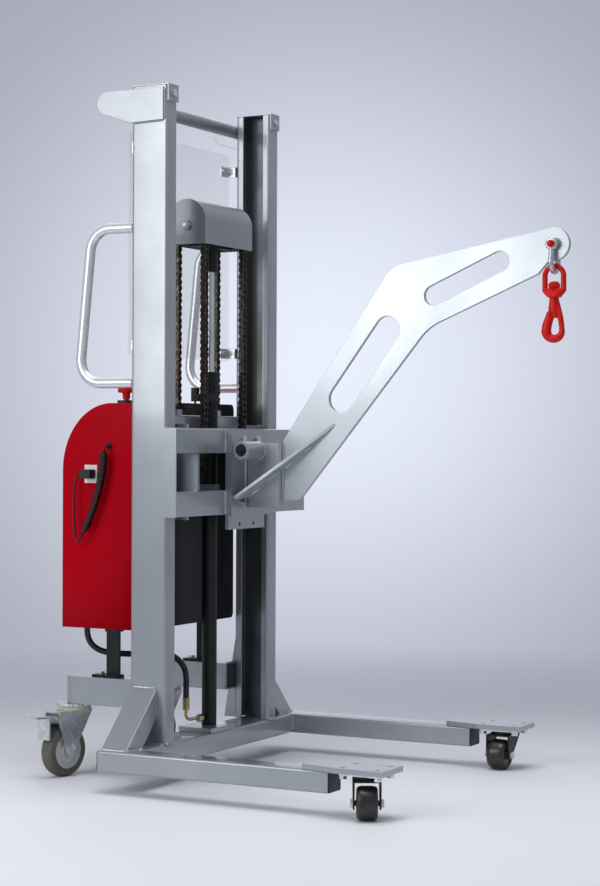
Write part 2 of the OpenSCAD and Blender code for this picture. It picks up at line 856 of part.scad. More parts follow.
// An upright's lipped channel, with its web on the outer side
module channel_section() {
    difference() {
        translate([-upright_d / 2, mast_y - upright_w / 2]) round_rect(upright_d, upright_w, upright_r);
        translate([-upright_d / 2, mast_y - upright_w / 2])
            round_rect(upright_d - 2 * upright_wall, upright_w - 2 * upright_wall, upright_r - upright_wall);
        translate([-upright_d + upright_lip, channel_y - 1])
            square([upright_d - 2 * upright_lip, upright_wall + 2]);
    }
}

// The two uprights of the mast
module uprights() {
    color(silver_paint) on_mast() both() translate([0, 0, deck_z]) linear_extrude(mast_top - deck_z)
        channel_section();
}

// The bent strips that close the uprights' tops
module top_caps() {
    color(silver_paint) on_mast() both() {
        translate([-upright_d, channel_y, mast_top]) cube([upright_d + cap_t, upright_w, cap_t]);
        difference() {
            translate([0, channel_y, mast_top - cap_tab_h]) cube([cap_t, upright_w, cap_tab_h]);
            translate([-1, channel_y + upright_w / 2, mast_top - cap_tab_h / 2]) rotate([0, 90, 0])
                cylinder(d = cap_bolt_d + 2 * run_fit, h = cap_t + 2);
        }
    }
}

// The frame's small fasteners
module frame_bolts() {
    color(zinc) on_mast() both() {
        translate([0, channel_y + upright_w / 2, mast_top - cap_tab_h / 2]) rotate([0, 90, 0]) {
            cylinder(d = cap_bolt_d, h = cap_t);
            translate([0, 0, cap_t]) hex(cap_bolt_d * 1.6, head_h);
        }
        for (z = bracket_zs) {
            translate([guard_front, guard_screw_y, z]) rotate([0, 90, 0])
                translate([0, 0, guard_strap_t]) cylinder(d = guard_screw_d * 1.6, h = screw_head_h);
            translate([-upright_d - guard_strap_t, mast_y - upright_w / 2, z]) rotate([0, -90, 0])
                hex(guard_screw_d * 1.6, screw_head_h);
        }
        translate([bracket_x - bracket_foot / 2, arm_y, arm_top + bracket_t])
            hex(bracket_bolt_d * 1.6, head_h);
        caster_bolts_at() translate([0, 0, deck_z - front_plate_t - nut_h]) {
            cylinder(d = caster_bolt_d, h = nut_h + front_plate_t + caster_plate_t - 2);
            hex(caster_bolt_d * 1.6, nut_h);
        }
        for (z = housing_screw_zs) translate([housing_front - 12, housing_y, z]) rotate([-90, 0, 0])
            cylinder(d = guard_screw_d, h = screw_head_h / 2);
    }
}

// The outline of a flag plate
module flag_outline() {
    rear = [-flag_len + flag_r, tie_z];
    polygon(concat(
        [[flag_front, flag_top - flag_h], [flag_front, flag_top]],
        arc_points(rear, flag_r, 90, 245, 16),
        [[-upright_d, flag_top - flag_h - 3]]
    ));
}

// The flag plates on the uprights' outer faces
module flag_plates() {
    color(silver_paint) on_mast() both() translate([0, mast_y + flag_t / 2, 0])
        plate_xz(flag_t) flag_outline();
}

// The round tube that ties the flag plates together behind the uprights
module top_tie_tube() {
    wall = 3;
    color(grey_paint) on_mast() translate([tie_x, 0, tie_z]) rotate([90, 0, 0]) difference() {
        cylinder(d = tie_d, h = mast_w, center = true);
        cylinder(d = tie_d - 2 * wall, h = mast_w + 2, center = true);
    }
}

// The bar between the uprights that the chains' rear ends are fixed to
module rear_cross_bar() {
    wall = 4;
    lug_w = chain_w + 6;
    color(silver_paint) on_mast() {
        translate([cross_bar_x + cross_bar_d / 2, 0, cross_bar_top - cross_bar_h / 2])
            tube_y(2 * channel_y, cross_bar_d, cross_bar_h, wall, leg_corner_r);
        both() translate([chain_rear_x - chain_h / 2, chain_y - lug_w / 2, cross_bar_top - 1])
            cube([chain_h, lug_w, chain_lug_h + 1]);
    }
}

// The bent tubes that the lift is pushed by
module handles() {
    top = [-upright_d, handle_top];
    upper = [-upright_d - handle_reach, handle_top];
    lower = upper + [-handle_lean, handle_bottom - handle_top];
    foot = [-upright_d, handle_bottom];
    bends = concat(corner(top, upper, lower, handle_bend, 7), corner(upper, lower, foot, handle_bend, 7));
    path = [for (q = concat([top], bends, [foot])) [q[0], handle_y, q[1]]];
    color(silver_paint) on_mast() both() swept_pipe(path, handle_d, handle_d - 2 * handle_wall, 18);
}

// The clear panel behind the mast
module guard_panel() {
    color(clear_plastic) on_mast() translate([guard_front - guard_t, -guard_y, guard_bottom])
        cube([guard_t, guard_w, guard_top - guard_bottom]);
}

// The bent straps that hold the guard panel
module guard_brackets() {
    web_y = channel_y - guard_strap_t - 2;
    color(zinc) on_mast() both() for (z = bracket_zs) translate([0, 0, z - guard_strap_w / 2])
        linear_extrude(guard_strap_w) {
            translate([-upright_d - guard_strap_t, web_y]) square([guard_strap_t, mast_y - 6 - web_y]);
            translate([guard_front, web_y]) square([guard_gap, guard_strap_t]);
            translate([guard_front, guard_screw_y - 14])
                square([guard_strap_t, web_y - guard_screw_y + 14 + guard_strap_t]);
        }
}

// The rear arms with their round ends, and the gussets at the uprights' feet
module rear_arms() {
    straight = arm_len - arm_w / 2;
    slope = gusset_d / gusset_h;
    foot = deck_z + gusset_h;
    color(silver_paint) on_mast() both() {
        translate([-upright_d, arm_y, arm_bottom]) difference() {
            linear_extrude(arm_h) rear_arm_plan(arm_w, straight);
            translate([0, 0, arm_wall]) linear_extrude(arm_h - 2 * arm_wall)
                rear_arm_plan(arm_w - 2 * arm_wall, straight);
        }
        translate([0, gusset_y + gusset_t / 2, 0]) plate_xz(gusset_t) polygon([
            [-upright_d, arm_top], [-upright_d, foot], [-upright_d - slope * (foot - arm_top), arm_top]
        ]);
        translate([0, gusset_y + gusset_t / 2, 0]) plate_xz(gusset_t) polygon([
            [-upright_d, arm_bottom], [-upright_d - slope * (foot - arm_bottom), arm_bottom],
            [-upright_d - gusset_d, deck_z], [-upright_d, deck_z]
        ]);
    }
}

// The plan of a rear arm: a straight run with a round rear end
module rear_arm_plan(w, straight) {
    translate([-straight, -w / 2]) square([straight, w]);
    translate([-straight, 0]) circle(d = w);
}

// The black brackets that carry the housing on the rear arms
module housing_brackets() {
    x1 = bracket_x + bracket_w / 2;
    color(black_paint) on_mast() both() translate([0, arm_y, 0]) {
        translate([x1 - bracket_foot, -bracket_w / 2, arm_top]) cube([bracket_foot, bracket_w, bracket_t]);
        translate([x1 - bracket_w, -bracket_t / 2, arm_top])
            cube([bracket_w, bracket_t, body_bottom - arm_top]);
        translate([x1 - bracket_w, -bracket_w / 2, body_bottom - bracket_t])
            cube([bracket_w, housing_y - arm_y + bracket_w / 2, bracket_t]);
    }
}

// The side view of the housing, drawn in by inset
module housing_outline(inset) {
    top = body_top - inset;
    flat_x = housing_front - body_flat;
    depth = body_rear + flat_x - inset;
    rise = body_shoulder - inset;
    polygon(concat(
        [[housing_front, top]],
        [for (i = [0:16]) [flat_x - depth * sin(90 * i / 16), top - rise + rise * cos(90 * i / 16)]],
        [[-body_rear + inset, body_bottom], [housing_front, body_bottom]]
    ));
}

// The red housing, open in front and below
module housing_shell() {
    color(red_paint) on_mast() difference() {
        plate_xz(body_w) housing_outline(0);
        plate_xz(body_w - 2 * body_wall) housing_outline(body_wall);
        translate([housing_front, 0, body_bottom + (body_top - body_bottom) / 2 - body_wall])
            cube([2, body_w - 2 * body_wall, body_top - body_bottom], center = true);
        translate([0, 0, body_bottom]) cube([4 * body_rear, body_w - 2 * body_wall, 2], center = true);
        translate([stop_x, stop_y, body_top - 2 * body_wall])
            cylinder(d = stop_stem_d + 4, h = 4 * body_wall);
        translate([rocker_x, 0, body_top])
            cube([rocker_size[0] + 0.4, rocker_size[1] + 0.4, 4 * body_wall], center = true);
        translate([lead_exit[0], -housing_y, lead_exit[2]]) rotate([90, 0, 0])
            cylinder(d = lead_d + 3, h = 4 * body_wall, center = true);
    }
}

// The black sheet chassis: the front plate and the floor
module housing_chassis() {
    plate_h = body_top + 3 - body_bottom;
    color(black_paint) on_mast() {
        translate([housing_front, 0, body_bottom + plate_h / 2]) rotate([90, 0, 90]) linear_extrude(chassis_t)
            round_rect(body_w, plate_h, console_r);
        translate([-body_rear + body_wall, -housing_y + body_wall, body_bottom])
            cube([body_rear - body_wall + housing_front, body_w - 2 * body_wall, chassis_t]);
    }
}

// The battery on the housing's floor
module battery() {
    post_d = 16;
    color(black_plastic) on_mast() translate([battery_x, battery_y, body_bottom + chassis_t]) {
        cube(battery_size);
        for (y = [0.2, 0.8]) translate([battery_size[0] * 0.2, battery_size[1] * y, battery_size[2] - 1])
            cylinder(d = post_d, h = 15);
    }
}

// The pump unit: oil tank, valve block, motor and charger, as separate solids
module power_unit() {
    floor_z = body_bottom + chassis_t;
    tank_y = 25;
    tank_x = battery_x;
    pump_x = tank_x + tank_size[0];
    pump_y = tank_y + (tank_size[1] - pump_size[1]) / 2;
    color(dark_steel) on_mast() {
        translate([tank_x, tank_y, floor_z]) cube(tank_size);
        translate([pump_x, pump_y, floor_z]) cube(pump_size);
        translate([pump_x + pump_size[0] / 2, pump_y + pump_size[1] / 2, floor_z + pump_size[2]])
            cylinder(d = motor_d, h = motor_h);
        translate([housing_front - charger_size[0], battery_y + 20, floor_z + battery_size[2] + 50])
            cube(charger_size);
    }
}

// Fittings on the housing and the cylinder
module panel_fittings() {
    color(white_plastic) on_mast() translate([plug_x - 18, -housing_y - socket_t, plug_z - 22])
        cube([36, socket_t, 44]);
    color(black_plastic) on_mast() {
        translate([lead_exit[0], -housing_y, lead_exit[2]]) rotate([90, 0, 0])
            cylinder(d1 = 16, d2 = 10, h = gland_out);
        translate([stop_x, stop_y, body_top]) difference() {
            cylinder(d = stop_cap_d + 2, h = stop_collar_h);
            translate([0, 0, -1]) cylinder(d = stop_neck_d + 2 * run_fit, h = stop_collar_h + 2);
        }
        rocker_frame();
        limit_switch();
    }
}

// The frame that the lift rocker turns in
module rocker_frame() {
    flange = 3;
    translate([rocker_x, 0, body_top]) difference() {
        union() {
            translate([0, 0, flange / 2])
                cube([rocker_size[0] + 8, rocker_size[1] + 8, flange], center = true);
            translate([0, 0, -rocker_size[2] / 2]) cube(rocker_size, center = true);
        }
        cube([rocker_size[0] - 6, rocker_size[1] - 6, 3 * rocker_size[2]], center = true);
        rotate([90, 0, 0]) cylinder(d = rocker_pin_d + 2 * run_fit, h = rocker_size[1] + 2, center = true);
    }
}

// The lift-limit switch on a band round the cylinder, with its lead to the console
module limit_switch() {
    band_h = 18;
    z = cyl_top - 42;
    size = [16, 14, 34];
    x = cyl_x - cyl_d / 2 - 12;
    y = -22;
    translate([cyl_x, 0, z]) difference() {
        cylinder(d = cyl_d + 8, h = band_h);
        translate([0, 0, -1]) cylinder(d = cyl_d, h = band_h + 2);
    }
    translate([x - size[0] / 2, y - size[1] / 2, z]) cube(size);
    translate([x + 2, y - size[1] / 2, z]) cube([14, size[1], band_h]);
    translate([0, y, 0]) bent_bar([[x, z], [x, z - 16], [housing_front + chassis_t, z - 16]], 10, 5);
}

// The curly charging lead
module curly_lead() {
    color(black_plastic) on_mast() swept_tube(lead_path, lead_d, lead_sides);
}

// The plug of the charging lead, parked in its socket
module charge_plug() {
    relief = lead_finish[len(lead_finish) - 1];
    color(black_plastic) on_mast() {
        translate([plug_x - plug_size[0] / 2, -housing_y - socket_t - plug_out, plug_z - plug_size[2] / 2])
            cube([plug_size[0], plug_out, plug_size[2]]);
        translate(relief) rotate([0, 90, 0])
            cylinder(d1 = 8, d2 = 14, h = plug_x - plug_size[0] / 2 - relief[0] + 1);
    }
}

// The hydraulic hose from the pump to the cylinder
module hydraulic_hose() {
    color(black_plastic) on_mast() swept_tube(hose_route, hose_d, hose_sides);
}

// The hose's ferrule, bent pipe and union at the cylinder's port
module hose_fittings() {
    end = hose_route[len(hose_route) - 1];
    ferrule_h = 30;
    pipe_d = 8;
    flat = norm([cyl_x - end[0], end[1]]);
    turn = atan2(-end[1], cyl_x - end[0]);
    reach = flat - cyl_d / 2;
    bend = 14;
    color(brass) on_mast() translate([end[0], end[1], 0]) {
        translate([0, 0, end[2] - ferrule_h]) cylinder(d = hose_d + 2, h = ferrule_h);
        rotate(turn) {
            bent_bar([[0, end[2] - ferrule_h], [0, port_z], [reach, port_z]], bend, pipe_d);
            translate([reach - 20, 0, port_z]) rotate([0, 90, 0]) hex(17, 14);
        }
    }
}

// The cylinder tube, welded to its foot plate
module cylinder_tube() {
    end_t = 14;
    color(black_paint) on_mast() difference() {
        union() {
            translate([-beam_d, -foot_w / 2, deck_z]) cube([beam_d, foot_w, cyl_foot_t]);
            translate([cyl_x, 0, deck_z]) cylinder(d = cyl_d, h = cyl_top - deck_z);
        }
        translate([cyl_x, 0, deck_z + cyl_foot_t + end_t]) cylinder(d = cyl_bore, h = cyl_top);
    }
}

// The gland nut on top of the cylinder
module cylinder_gland() {
    skirt = 10;
    color(black_paint) on_mast() translate([cyl_x, 0, cyl_top]) difference() {
        translate([0, 0, -skirt]) cylinder(d = gland_d, h = skirt + gland_h);
        translate([0, 0, -skirt - 1]) cylinder(d = cyl_d, h = skirt + 1);
        cylinder(d = rod_d + 2 * run_fit, h = gland_h + 1);
    }
}

// The piston rod with its piston
module piston_rod() {
    piston_h = 30;
    color(chrome) on_mast() translate([cyl_x, 0, 0]) {
        translate([0, 0, piston_z]) cylinder(d = cyl_bore - 2 * run_fit, h = piston_h);
        translate([0, 0, piston_z]) cylinder(d = rod_d, h = boss_z + rod_socket - piston_z);
    }
}

// The crosshead on the rod, with its ears and, as a separate solid, the sprocket axle
module crosshead() {
    bridge_h = 20;
    ear_t = 10;
    ear_y = chain_y - chain_w / 2 - 14;
    color(black_paint) on_mast() {
        difference() {
            union() {
                translate([cyl_x, 0, boss_z]) cylinder(d = boss_d, h = boss_h + bridge_h);
                translate([cyl_x - axle_d, -ear_y, boss_top]) cube([2 * axle_d, 2 * ear_y, bridge_h]);
                both() translate([cyl_x, ear_y - ear_t / 2, 0]) plate_xz(ear_t) {
                    translate([-axle_d, boss_top]) square([2 * axle_d, axle_z - boss_top]);
                    translate([0, axle_z]) circle(axle_d);
                }
            }
            translate([cyl_x, 0, boss_z - 1]) cylinder(d = rod_d, h = rod_socket + 1);
            translate([cyl_x, 0, axle_z]) rotate([90, 0, 0]) cylinder(d = axle_d, h = cover_w, center = true);
        }
        translate([cyl_x, 0, axle_z]) rotate([90, 0, 0]) {
            cylinder(d = axle_d, h = cover_w + 4, center = true);
            for (s = [0, 180]) rotate([s, 0, 0]) translate([0, 0, cover_w / 2]) hex(axle_d * 1.2, head_h);
        }
    }
}

// The side view of the sprocket cover, drawn in by inset
module cover_outline(inset) {
    r = cover_r - inset;
    translate([cover_x, cover_shoulder]) circle(r);
    translate([cover_x - r, cover_bottom]) square([2 * r, cover_shoulder - cover_bottom]);
}

// The sheet cover over the sprockets
module sprocket_cover() {
    color(grey_paint) on_mast() difference() {
        plate_xz(cover_w) cover_outline(0);
        plate_xz(cover_w - 2 * cover_t) cover_outline(cover_t);
        translate([cover_x, 0, cover_bottom])
            cube([cover_d - 2 * cover_t, cover_w - 2 * cover_t, 2], center = true);
        translate([cover_x, 0, axle_z]) rotate([90, 0, 0])
            cylinder(d = axle_d + 2 * run_fit, h = cover_w + 2, center = true);
    }
}

// Half the chain's height at a place along it: full at a pin, waisted between pins
function link_half(t) = chain_h / 2 - chain_h * 0.13 * (1 - cos(360 * t)) / 2;

// The side outline of a chain run that rises from 0 to h
module chain_outline(h) {
    n = floor(h / chain_pitch * link_steps);
    zs = [for (i = [0:n]) i * chain_pitch / link_steps];
    polygon(concat(
        [for (z = zs) [link_half(z / chain_pitch), z]], [[chain_h / 2 * 0.8, h], [-chain_h / 2 * 0.8, h]],
        [for (i = [0:n]) [-link_half(zs[n - i] / chain_pitch), zs[n - i]]]
    ));
}

// A straight run of chain, forked where it flanks the sprocket's teeth
module chain_run(x, z0) {
    h = axle_z - swivel_gap - z0;
    color(dark_steel) on_mast() both() translate([x, chain_y, z0]) difference() {
        plate_xz(chain_w) chain_outline(h);
        translate([-chain_h, -chain_w / 2 + chain_plate_t, h - chain_slot_h])
            cube([2 * chain_h, chain_w - 2 * chain_plate_t, chain_slot_h + 1]);
    }
}

// The chains behind the cylinder, fixed to the rear cross bar
module chain_rear() chain_run(chain_rear_x, cross_bar_top + chain_lug_h);

// The chains in front of the cylinder, fixed to the carriage
module chain_front() chain_run(chain_front_x, carriage_z + bar_h + chain_lug_h);

// The link plates of the chains where they pass over the sprockets
module chain_wrap() {
    color(dark_steel) on_mast() both() for (s = [-1, 1])
        translate([cyl_x, chain_y + s * (chain_w - chain_plate_t) / 2, axle_z]) rotate([90, 0, 0])
            rotate_extrude(angle = 180) translate([sprocket_r, 0])
                square([chain_h * 0.9, chain_plate_t], center = true);
}

// The two sprockets
module sprockets() {
    hub_w = chain_w + 10;
    color(dark_steel) on_mast() both() translate([cyl_x, chain_y, axle_z]) rotate([90, 0, 0]) difference() {
        union() {
            cylinder(r = sprocket_r + 3, h = sprocket_t, center = true);
            cylinder(r = hub_r, h = hub_w, center = true);
        }
        cylinder(d = axle_d + 2 * run_fit, h = hub_w + 2, center = true);
        for (i = [0:sprocket_teeth - 1]) rotate(360 / sprocket_teeth * i) translate([sprocket_r, 0, 0])
            cylinder(d = roller_bore_d, h = sprocket_t + 2, center = true, $fn = 24);
    }
}

// The carriage's two bars with the chain lugs, and its end plates as separate solids
module carriage_bars() {
    lug_w = chain_w + 6;
    color(silver_paint) on_mast() {
        for (z = [carriage_z, upper_bar_z]) translate([bar_x + bar_d / 2, 0, z + bar_h / 2])
            tube_y(bar_len, bar_d, bar_h, bar_wall, bar_wall + 1);
        both() translate([chain_front_x - chain_h / 2, chain_y - lug_w / 2, carriage_z + bar_h - 1])
            cube([bar_x + bar_d / 2 - chain_front_x + chain_h / 2, lug_w, chain_lug_h + 1]);
        both() translate([bar_x, bar_len / 2, carriage_z])
            cube([bar_d, end_plate_t, carriage_top - carriage_z]);
    }
}

// The plates that carry the carriage's rollers, with the roller pins
module roller_plates() {
    x0 = roller_x - roller_pin_d / 2 - 2;
    over = 10;
    pin_len = roller_y + roller_w / 2 - 4 - roller_plate_y;
    color(silver_paint) on_mast() both() translate([0, roller_plate_y, 0]) {
        plate_xz(roller_plate_t) {
            translate([x0, carriage_z - over]) square([bar_x - x0, carriage_top - carriage_z + 2 * over]);
            translate([x0, carriage_z + bar_h]) square([bar_front - 10 - x0, bar_gap]);
        }
        for (z = roller_zs) translate([roller_x, 0, z]) rotate([-90, 0, 0])
            cylinder(d = roller_pin_d, h = pin_len);
    }
}

// A pair of carriage rollers at height z
module roller_pair(z) {
    edge = 3;
    color(dark_steel) on_mast() both() translate([roller_x, roller_y, z]) rotate([90, 0, 0]) rotate_extrude()
        polygon([
            [roller_pin_d / 2 + run_fit, -roller_w / 2], [roller_d / 2 - edge, -roller_w / 2],
            [roller_d / 2, -roller_w / 2 + edge], [roller_d / 2, roller_w / 2 - edge],
            [roller_d / 2 - edge, roller_w / 2], [roller_pin_d / 2 + run_fit, roller_w / 2]
        ]);
}

module upper_rollers() roller_pair(roller_zs[1]);

module lower_rollers() roller_pair(roller_zs[0]);

// Children at the four jib bolts
module jib_bolts_at() {
    for (y = [-1, 1], z = jib_bolt_zs) translate([0, y * jib_bolt_y, z]) rotate([0, 90, 0]) children();
}

// The plate welded to the front of the carriage bars
module mount_plate() {
    spare_d = 10;
    color(silver_paint) on_mast() difference() {
        translate([bar_front, -mount_plate_w / 2, mount_z])
            cube([mount_plate_t, mount_plate_w, carriage_top - mount_z]);
        translate([bar_front - 1, 0, 0]) jib_bolts_at() cylinder(d = jib_bolt_d + 1, h = mount_plate_t + 2);
        for (y = [-1, 1]) translate([bar_front - 1, y * jib_bolt_y, mount_z + mount_plate_drop / 3])
            rotate([0, 90, 0]) cylinder(d = spare_d, h = mount_plate_t + 2);
    }
}

// The jib's base plate, bolted to the mount plate
module jib_base_plate() {
    color(silver_paint) on_mast() difference() {
        translate([base_x, -mount_plate_w / 2, base_z]) cube([jib_base_t, mount_plate_w, jib_base_h]);
        translate([base_x - 1, 0, 0]) jib_bolts_at() cylinder(d = jib_bolt_d + 1, h = jib_base_t + 2);
    }
}

// The jib's post, with the pin tube on its near side
module jib_post() {
    color(silver_paint) on_mast() {
        translate([post_x + post_d / 2, 0, post_z]) linear_extrude(post_h)
            tube_section(post_d, post_w, post_wall, post_r);
        translate([pin_tube_x, -post_w / 2 - pin_tube_len, pin_tube_z]) rotate([-90, 0, 0]) difference() {
            cylinder(d = pin_tube_d, h = pin_tube_len);
            translate([0, 0, -1]) cylinder(d = pin_bore, h = pin_tube_len + 1);
        }
    }
}

// A slot between the points a and b
module slot(a, b, w) {
    turn = heading(b - a);
    polygon(concat(
        arc_points(a, w / 2, turn + 90, turn + 270, 20), arc_points(b, w / 2, turn - 90, turn + 90, 20)
    ));
}

// The jib's side outline, without its slots
module jib_outline() {
    tip = arc_points(jib_eye, jib_tip_r, 100, -106, 28);
    polygon(concat(
        [jib_foot, jib_back],
        corner(jib_back, jib_knee, tip[0], knee_r),
        tip,
        [jib_neck],
        corner(jib_neck, jib_bend, jib_heel, bend_r),
        corner(jib_bend, jib_heel, jib_foot, heel_r)
    ));
}

// The jib's flat plate, with its two slots and the eye for the shackle
module jib_plate() {
    color(jib_paint) on_mast() difference() {
        plate_xz(jib_t) difference() {
            jib_outline();
            slot(slot_low[0], slot_low[1], slot_low_w);
            slot(slot_high[0], slot_high[1], slot_high_w);
        }
        translate([jib_eye[0], 0, jib_eye[1]]) rotate([90, 0, 0])
            cylinder(d = pin_d + 2 * run_fit, h = jib_t + 2, center = true);
    }
}

// The slanted ribs from the base plate to the jib plate
module jib_ribs() {
    long = norm([rib_run, rib_rise]);
    step = post_d / cos(rib_angle);
    lead = rib_t / 2 * tan(rib_angle);
    color(silver_paint) on_mast() both() translate([post_x, 0, rib_z]) rotate([0, -rib_angle, 0])
        translate([0, 0, -rib_t / 2]) linear_extrude(rib_t) polygon([
            [lead, post_w / 2], [lead, post_w / 2 + rib_root_y], [long, jib_t / 2], [step + lead, jib_t / 2],
            [step + lead, post_w / 2]
        ]);
}

// The bolts that fix the jib to the mount plate
module jib_bolts() {
    color(zinc) on_mast() translate([bar_front, 0, 0]) jib_bolts_at() {
        cylinder(d = jib_bolt_d, h = mount_plate_t + jib_base_t);
        translate([0, 0, mount_plate_t + jib_base_t]) hex(jib_bolt_d * 1.5, head_h);
    }
}

// A caster's turning yoke, with its trail along +x and its axle along y
module caster_yoke(head_z, wheel_d, wheel_w, trail, race_d, race_h, back, ahead, pedal) {
    side_gap = 3;
    race_z = head_z - swivel_gap - race_h;
    plate_z = race_z - yoke_t;
    cheek_y = wheel_w / 2 + side_gap + yoke_t / 2;
    axle_r = wheel_axle_d * 1.2;
    difference() {
        union() {
            translate([0, 0, race_z]) cylinder(d = race_d, h = race_h);
            translate([-back, -cheek_y - yoke_t / 2, plate_z])
                cube([back + ahead, 2 * cheek_y + yoke_t, yoke_t]);
            for (s = [-1, 1]) translate([0, s * cheek_y, 0]) plate_xz(yoke_t) {
                polygon([
                    [-back, plate_z], [-back, plate_z + yoke_t], [ahead, plate_z + yoke_t],
                    [ahead, plate_z - (pedal ? 22 : 0)], [trail + axle_r, wheel_d / 2],
                    [trail - axle_r, wheel_d / 2]
                ]);
                translate([trail, wheel_d / 2]) circle(axle_r);
            }
            translate([trail, 0, wheel_d / 2]) rotate([90, 0, 0]) {
                cylinder(d = wheel_axle_d, h = 2 * cheek_y, center = true);
                for (s = [0, 180]) rotate([s, 0, 0]) translate([0, 0, cheek_y + yoke_t / 2])
                    hex(wheel_axle_d * 1.4, head_h * 0.8);
            }
        }
        translate([0, 0, plate_z - 1]) cylinder(d = king_pin_d + 2 * run_fit, h = yoke_t + race_h + 2);
        if (pedal) translate([pedal_x, 0, pedal_z]) rotate([90, 0, 0])
            cylinder(d = pedal_pin_d + 2 * run_fit, h = 3 * cheek_y, center = true);
    }
}

// A front caster's yoke or a rear one's, in its place: s is -1 on the right and 1 on the left
module front_yoke(s, turn) {
    color(black_paint) on_mast() translate([front_caster_x, s * caster_y, 0]) rotate(turn)
        caster_yoke(front_head_z, front_wheel_d, front_wheel_w, front_trail, front_race_d, front_race_h,
            front_yoke_back, front_yoke_ahead, false);
}

module rear_yoke(s) {
    color(zinc) on_mast() translate([rear_caster_x, s * arm_y, 0]) rotate(trail_rear)
        caster_yoke(rear_head_z, rear_wheel_d, rear_wheel_w, rear_trail, rear_race_d, rear_race_h,
            rear_yoke_back, rear_yoke_ahead, true);
}

// A wheel with a rounded tread and a dished rim, its axle along y
module caster_wheel(d, w) {
    r = d / 2;
    half = [
        [wheel_axle_d / 2 + run_fit, w / 2], [r * 0.3, w / 2], [r * 0.34, w / 2 - 4], [r * 0.66, w / 2 - 4],
        [r * 0.7, w / 2 - 1], [r - 6, w / 2 - 1], [r - 2, w / 2 - 5], [r, w / 2 - 11]
    ];
    n = len(half);
    rotate([90, 0, 0]) rotate_extrude()
        polygon(concat(half, [for (i = [1:n]) [half[n - i][0], -half[n - i][1]]]));
}

module front_wheel(s, turn) {
    color(black_plastic) on_mast() translate([front_caster_x, s * caster_y, 0]) rotate(turn)
        translate([front_trail, 0, front_wheel_d / 2]) caster_wheel(front_wheel_d, front_wheel_w);
}

module rear_wheel(s) {
    color(rubber_grey) on_mast() translate([rear_caster_x, s * arm_y, 0]) rotate(trail_rear)
        translate([rear_trail, 0, rear_wheel_d / 2]) caster_wheel(rear_wheel_d, rear_wheel_w);
}

// A brake pedal: its tread plate, its shoe and its pin
module brake_pedal(s) {
    shoe_x = rear_trail + rear_wheel_d / 2 + 2;
    shoe_drop = 52;
    sheet = 4;
    tip_x = shoe_x + 46;
    wide = rear_wheel_w + 3;
    color(zinc) on_mast() translate([rear_caster_x, s * arm_y, 0]) rotate(trail_rear) {
        plate_xz(wide) polygon([
            [pedal_x, pedal_z - 4], [pedal_x, pedal_z + 4], [shoe_x, pedal_z + 5], [tip_x, pedal_z + 8],
            [tip_x, pedal_z + 8 - sheet], [shoe_x + sheet, pedal_z + 5 - sheet],
            [shoe_x + sheet, pedal_z - shoe_drop], [shoe_x, pedal_z - shoe_drop], [shoe_x, pedal_z - 2]
        ]);
        translate([pedal_x, 0, pedal_z]) rotate([90, 0, 0])
            cylinder(d = pedal_pin_d, h = rear_wheel_w + 6 + 2 * yoke_t, center = true);
    }
}

module yoke_front_right() front_yoke(-1, trail_front_right);

module yoke_front_left() front_yoke(1, trail_front_left);

module yoke_rear_right() rear_yoke(-1);

module yoke_rear_left() rear_yoke(1);

module wheel_front_right() front_wheel(-1, trail_front_right);

module wheel_front_left() front_wheel(1, trail_front_left);

module wheel_rear_right() rear_wheel(-1);

module wheel_rear_left() rear_wheel(1);

module pedal_right() brake_pedal(-1);

module pedal_left() brake_pedal(1);

// The bow shackle and, as a separate solid, its pin
module shackle() {
    ear_out = ear_gap / 2 + ear_w;
    color(zinc) on_mast() translate([jib_eye[0], 0, 0]) {
        difference() {
            union() {
                translate([0, 0, bow_mid_z]) rotate([90, 0, 90]) rotate(180) rotate_extrude(angle = 180)
                    translate([bow_mid_r, 0]) circle(d = bow_d, $fn = 32);
                both() {
                    leg = [bow_mid_r - ear_mid, bow_mid_z - jib_eye_z];
                    translate([0, ear_mid, jib_eye_z]) rotate([atan2(-leg[0], leg[1]), 0, 0])
                        cylinder(d = bow_d, h = norm(leg), $fn = 32);
                    translate([0, bow_mid_r, bow_mid_z]) sphere(d = bow_d, $fn = 32);
                    translate([0, ear_gap / 2, jib_eye_z]) rotate([-90, 0, 0]) cylinder(d = ear_d, h = ear_w);
                }
            }
            translate([0, 0, jib_eye_z]) rotate([90, 0, 0]) {
                cylinder(d = pin_d, h = 4 * ear_out, center = true);
                cylinder(d = ear_d + 2, h = ear_gap, center = true);
            }
        }
        translate([0, 0, jib_eye_z]) rotate([90, 0, 0]) {
            translate([0, 0, -ear_out - 3]) cylinder(d = pin_d, h = 2 * ear_out + 5);
            translate([0, 0, ear_out]) cylinder(d = pin_d * 1.35, h = 5);
            translate([0, 0, ear_out + 5]) cylinder(d1 = pin_d * 0.9, d2 = pin_d * 0.6, h = 9);
        }
    }
}

